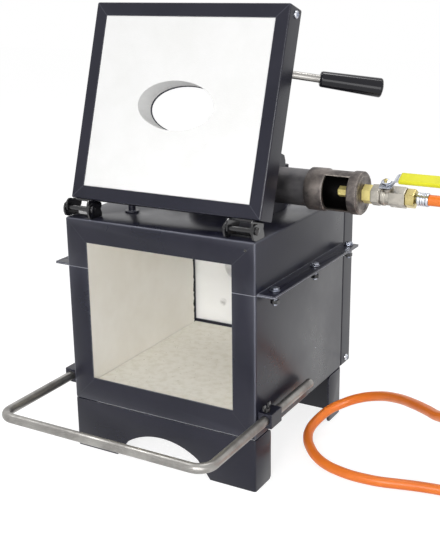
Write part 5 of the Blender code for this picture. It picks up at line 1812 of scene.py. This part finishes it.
@dataclass
class Hose:
    """The free hose with its coil and the coupling on its far end."""

    bench: Bench
    sizes: ForgeSizes = SIZES
    diameter: float = 0.0140
    coil_lead: float = 0.0180
    coil_radius: float = 0.0885
    coil_pitch: float = 0.0170
    coil_climb: float = 0.0147
    inward_turns: float = 1.25
    reverse_turns: float = 0.50
    outward_turns: float = 1.25
    tail_turns: float = 0.375
    tail_out: float = 0.0200
    tail_out_share: float = 0.70
    tail_drop_share: float = 0.35
    points_per_turn: int = 24
    smoothness: int = 4
    coupling_flats: float = 0.0190
    coupling_hex: float = 0.0140
    coupling_ferrule: float = 0.0170
    coupling_cone: float = 0.0060
    coupling_cone_diameter: float = 0.0110
    coupling_tip_shares: Pair = (0.55, 0.7)
    route: tuple[Point, ...] = (
        (0.3138, 0.1392, 0.3805), (0.3290, 0.1392, 0.3805), (0.3500, 0.1388, 0.3800),
        (0.3760, 0.1365, 0.3770), (0.4030, 0.1315, 0.3695), (0.4270, 0.1245, 0.3565),
        (0.4470, 0.1155, 0.3385), (0.4620, 0.1050, 0.3165), (0.4715, 0.0935, 0.2915),
        (0.4755, 0.0820, 0.2650), (0.4740, 0.0710, 0.2380), (0.4670, 0.0615, 0.2110),
        (0.4540, 0.0560, 0.1860), (0.4340, 0.0565, 0.1635), (0.4110, 0.0660, 0.1450),
        (0.3840, 0.0850, 0.1275), (0.3500, 0.1120, 0.1090), (0.3260, 0.1380, 0.1010),
        (0.3010, 0.1640, 0.0930), (0.2630, 0.1990, 0.0800), (0.2250, 0.2210, 0.0660),
        (0.1940, 0.2240, 0.0540), (0.1750, 0.2180, 0.0450), (0.1600, 0.2060, 0.0370),
        (0.1500, 0.1860, 0.0280), (0.1470, 0.1650, 0.0210), (0.1530, 0.1440, 0.0160),
        (0.1660, 0.1250, 0.0130), (0.1810, 0.1110, 0.0100), (0.2020, 0.0990, 0.0080),
        (0.2240, 0.0930, 0.0072), (0.2430, 0.0900, 0.0072), (0.2590, 0.0900, 0.0072),
        (0.2800, 0.0920, 0.0072), (0.3040, 0.0980, 0.0072), (0.3300, 0.1045, 0.0072),
        (0.3600, 0.1095, 0.0072), (0.3920, 0.1117, 0.0072), (0.4220, 0.1120, 0.0072),
    )

    def coil_route(self) -> list[Vector]:
        """Return the coil's centre line, from the hose's floor stretch to the coupling.

        Returns:
            Points in the forge's frame.
        """
        lead = Vector(self.route[-1]) + Vector((self.sizes.gap, 0.0, 0.0))
        centre = lead + Vector((self.coil_lead, self.coil_radius, 0.0))
        inner = self.coil_radius - self.coil_pitch * self.inward_turns
        reversing = self.inward_turns + self.reverse_turns
        out_end = reversing + self.outward_turns
        last_height = self.coupling_flats / 2 + self.sizes.gap
        points = [lead]
        angle = 0.0
        for step in range(round((out_end + self.tail_turns) * self.points_per_turn) + 1):
            turns = step / self.points_per_turn
            tail = (turns - out_end) / self.tail_turns
            radius = max(inner, self.coil_radius - self.coil_pitch * turns)
            radius += max(0.0, min(turns, out_end) - reversing) * self.coil_pitch
            radius += self.tail_out * eased(tail / self.tail_out_share)
            height = lead.z + self.coil_climb * eased((turns - self.inward_turns)
                                                      / self.reverse_turns)
            drop = eased((tail - self.tail_drop_share) / (1.0 - self.tail_drop_share))
            height += drop * (last_height - lead.z - self.coil_climb)
            angle = 2.0 * math.pi * turns - math.pi / 2
            points.append(Vector((centre.x + radius * math.cos(angle),
                                  centre.y + radius * math.sin(angle), height)))
        onward = Vector((-math.sin(angle), math.cos(angle), 0.0))
        points.append(points[-1] + onward * self.diameter)
        return points

    def build(self) -> None:
        coil = self.coil_route()
        path = [Vector(point) + self.bench.offset for point in [*self.route, *coil[1:]]]
        curve = bpy.data.curves.new("orange_hose", "CURVE")
        curve.dimensions = "3D"
        curve.bevel_depth = self.diameter / 2
        curve.bevel_resolution = 6
        curve.use_fill_caps = True
        curve.resolution_u = self.smoothness
        spline = curve.splines.new("BEZIER")
        spline.bezier_points.add(len(path) - 1)
        for knot, place in zip(spline.bezier_points, path):
            knot.co = place
            knot.handle_left_type = knot.handle_right_type = "AUTO"
        curve.materials.append(ORANGE_HOSE.material())
        hose = put_in_scene("orange_hose", curve)
        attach(hose, Body.FORGE.value)
        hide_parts("gas_hose", "hose_coil")
        coupling = self.build_coupling(coil)

    def build_coupling(self, coil: Sequence[Vector]) -> bpy.types.Object:
        """Build the brass coupling on the hose's far end.

        Args:
            coil: The coil's centre line.

        Returns:
            The coupling.
        """
        along = (coil[-1] - coil[-2]).normalized()
        start = coil[-1] + along * self.sizes.gap
        length, cone = self.coupling_ferrule, self.coupling_cone_diameter / 2
        ferrule = [(radius, length - place)
                   for radius, place in CrimpedFerrule(length).profile()]
        tip = self.coupling_hex + self.coupling_cone
        tip_width, tip_length = self.coupling_tip_shares
        tail = [(0.0, 0.0), (cone, 0.0), (cone, tip - self.coupling_cone * tip_length),
                (cone * tip_width, tip), (0.0, tip)]
        hexagon = start + along * length
        shape = merged(
            lathe(ferrule, start, along),
            hexagon_bar(hexagon, along, self.coupling_hex, self.coupling_flats, BROAD_CHAMFER,
                        turn=math.pi / 6),
            lathe(eased_profile(tail, FINE_CHAMFER), hexagon, along, Facets.MANY))
        return self.bench.add("hose_coupling", shape, BRASS, Body.FORGE,
                              ["hose_end_fitting"], self.bench.shift, smooth=45.0)


def eased(share: float) -> float:
    """Return a share eased in and out, held between 0 and 1."""
    share = min(max(share, 0.0), 1.0)
    return share * share * (3.0 - 2.0 * share)


@dataclass(frozen=True)
class Lamp:
    """A square soft lamp and the spot that it looks at."""

    name: str
    place: Point
    size: float
    power: float
    aim: Point = (0.0, 0.0, 0.25)
    spread: float = math.pi

    def hang(self) -> None:
        """Put the lamp in the scene."""
        light = bpy.data.lights.new(self.name, "AREA")
        light.shape = "SQUARE"
        light.size, light.energy, light.spread = self.size, self.power, self.spread
        lamp = put_in_scene(self.name, light)
        lamp.location = self.place
        lamp.rotation_euler = (Vector(self.aim) - lamp.location).to_track_quat(
            "-Z", "Y").to_euler()


@dataclass
class Studio:
    """The camera at the photograph's angle, the pale floor, the lamps and the world."""

    bench: Bench
    image_height: float = 539.0
    focal_pixels: float = 964.992
    sensor: float = 36.0
    clip: Pair = (0.01, 50.0)
    camera_place: Point = (0.66868, -0.99137, 0.65189)
    right: Point = (0.8677, 0.4971, -0.0128)
    up: Point = (-0.1359, 0.2618, 0.9555)
    floor_size: float = 12.0
    floor_bounce: float = 0.60
    floor_seen: float = 0.35
    floor_glow: float = 0.83
    ambient: float = 0.47
    lamps: tuple[Lamp, ...] = (Lamp("key_lamp", (-1.25, -0.15, 2.25), 0.5, 10.0),
                               Lamp("front_lamp", (0.45, -2.05, 1.08), 0.6, 17.5),
                               Lamp("fill_lamp", (1.25, -1.75, 0.45), 0.9, 8.5),
                               Lamp("top_lamp", (0.2, 0.5, 2.3), 0.5, 7.0))
    chamber_lamp: Lamp = Lamp("chamber_lamp", (0.36, -1.45, 0.62), 0.3, 0.13,
                              spread=math.radians(24.0))
    chamber_middle: Point = (0.0, 0.15, 0.11)

    def build(self) -> None:
        """Build the whole setting."""
        self.build_camera()
        self.build_floor()
        self.build_world()
        self.build_lamps()
        bpy.context.scene.view_settings.view_transform = "Standard"

    def build_camera(self) -> None:
        """Set the camera where the photograph was taken from."""
        lens = bpy.data.cameras.new("photo_camera")
        lens.sensor_width = self.sensor
        lens.lens = self.focal_pixels / self.image_height * self.sensor
        lens.clip_start, lens.clip_end = self.clip
        camera = put_in_scene("photo_camera", lens)
        right = Vector(self.right).normalized()
        back = right.cross(Vector(self.up)).normalized()
        turn = Matrix((right, back.cross(right), back)).transposed().to_4x4()
        camera.matrix_world = Matrix.Translation(Vector(self.camera_place)
                                                 + self.bench.offset) @ turn
        bpy.context.scene.camera = camera

    def build_floor(self) -> None:
        """Lay a plain pale floor that looks white and still takes the forge's shadow."""
        shape = bmesh.new()
        bmesh.ops.create_grid(shape, x_segments=1, y_segments=1, size=self.floor_size / 2)
        mesh = bpy.data.meshes.new("studio_floor")
        shape.to_mesh(mesh)
        shape.free()
        mesh.materials.append(self.floor_material())
        put_in_scene("studio_floor", mesh)

    def floor_material(self) -> bpy.types.Material:
        """Return the floor's material, which glows only where it is seen.

        Returns:
            The node-based material.
        """
        look = bpy.data.materials.new("Pale floor")
        look.use_nodes = True
        sheet = NodeSheet(look.node_tree)
        seen = sheet.seen_directly()
        paint = sheet.add("BsdfDiffuse")
        sheet.feed(paint.inputs["Color"], sheet.blend(seen, rgba((self.floor_bounce,) * 3),
                                                      rgba((self.floor_seen,) * 3)))
        glow = sheet.add("Emission")
        sheet.feed(glow.inputs["Strength"], sheet.math("MULTIPLY", seen, self.floor_glow))
        both = sheet.add("AddShader")
        sheet.feed(both.inputs[0], paint.outputs[0])
        sheet.feed(both.inputs[1], glow.outputs[0])
        sheet.feed(sheet.add("OutputMaterial").inputs["Surface"], both.outputs[0])
        return look

    def build_world(self) -> None:
        """Make a white surround that lights softly and shows white where it is seen."""
        world = bpy.data.worlds.new("white_surround")
        world.use_nodes = True
        sheet = NodeSheet(world.node_tree)
        ground = sheet.add("Background")
        sheet.feed(ground.inputs["Color"], rgba((1.0, 1.0, 1.0)))
        sheet.feed(ground.inputs["Strength"],
                   sheet.span(sheet.seen_directly(), 0.0, 1.0, self.ambient, 1.0))
        sheet.feed(sheet.add("OutputWorld").inputs["Surface"], ground.outputs[0])
        bpy.context.scene.world = world

    def build_lamps(self) -> None:
        """Hang the soft lamps round the forge, and the one that looks into the chamber."""
        chamber = tuple(Vector(self.chamber_middle) + self.bench.offset)
        for lamp in (*self.lamps, replace(self.chamber_lamp, aim=chamber)):
            lamp.hang()


def main() -> None:
    """Build the camera, the hose and then every sub-assembly."""
    logging.basicConfig(level=logging.INFO, format="%(name)s %(message)s")
    build_shader_groups()
    bench = Bench(Vector((MIDDLE_X, FRONT_Y, 0.0)))
    Studio(bench).build()
    Hose(bench).build()
    Casing(bench).build()
    Hinges(bench).build()
    turned = Matrix.Rotation(math.pi, 4, "Z")
    front_pivot = Matrix.Translation((0.0, SIZES.pin_behind_face, SIZES.pin_height))
    rear_pivot = Matrix.Translation((0.0, SIZES.depth - SIZES.pin_behind_face,
                                     SIZES.pin_height))
    Door(bench, "front", Body.FRONT_DOOR, bench.shift @ front_pivot @ DOOR_OPEN, MITRED_COAT,
         WHITE_BOARD, 1).build()
    Door(bench, "rear", Body.REAR_DOOR, bench.shift @ rear_pivot @ turned, POWDER_COAT,
         SOOTED_BOARD, -1).build()
    WorkRest(bench).build()
    Burner(bench).build()
    Valve(bench).build()
    LOG.info("%d pieces", len(bench.pieces))


if __name__ == "__main__":
    main()
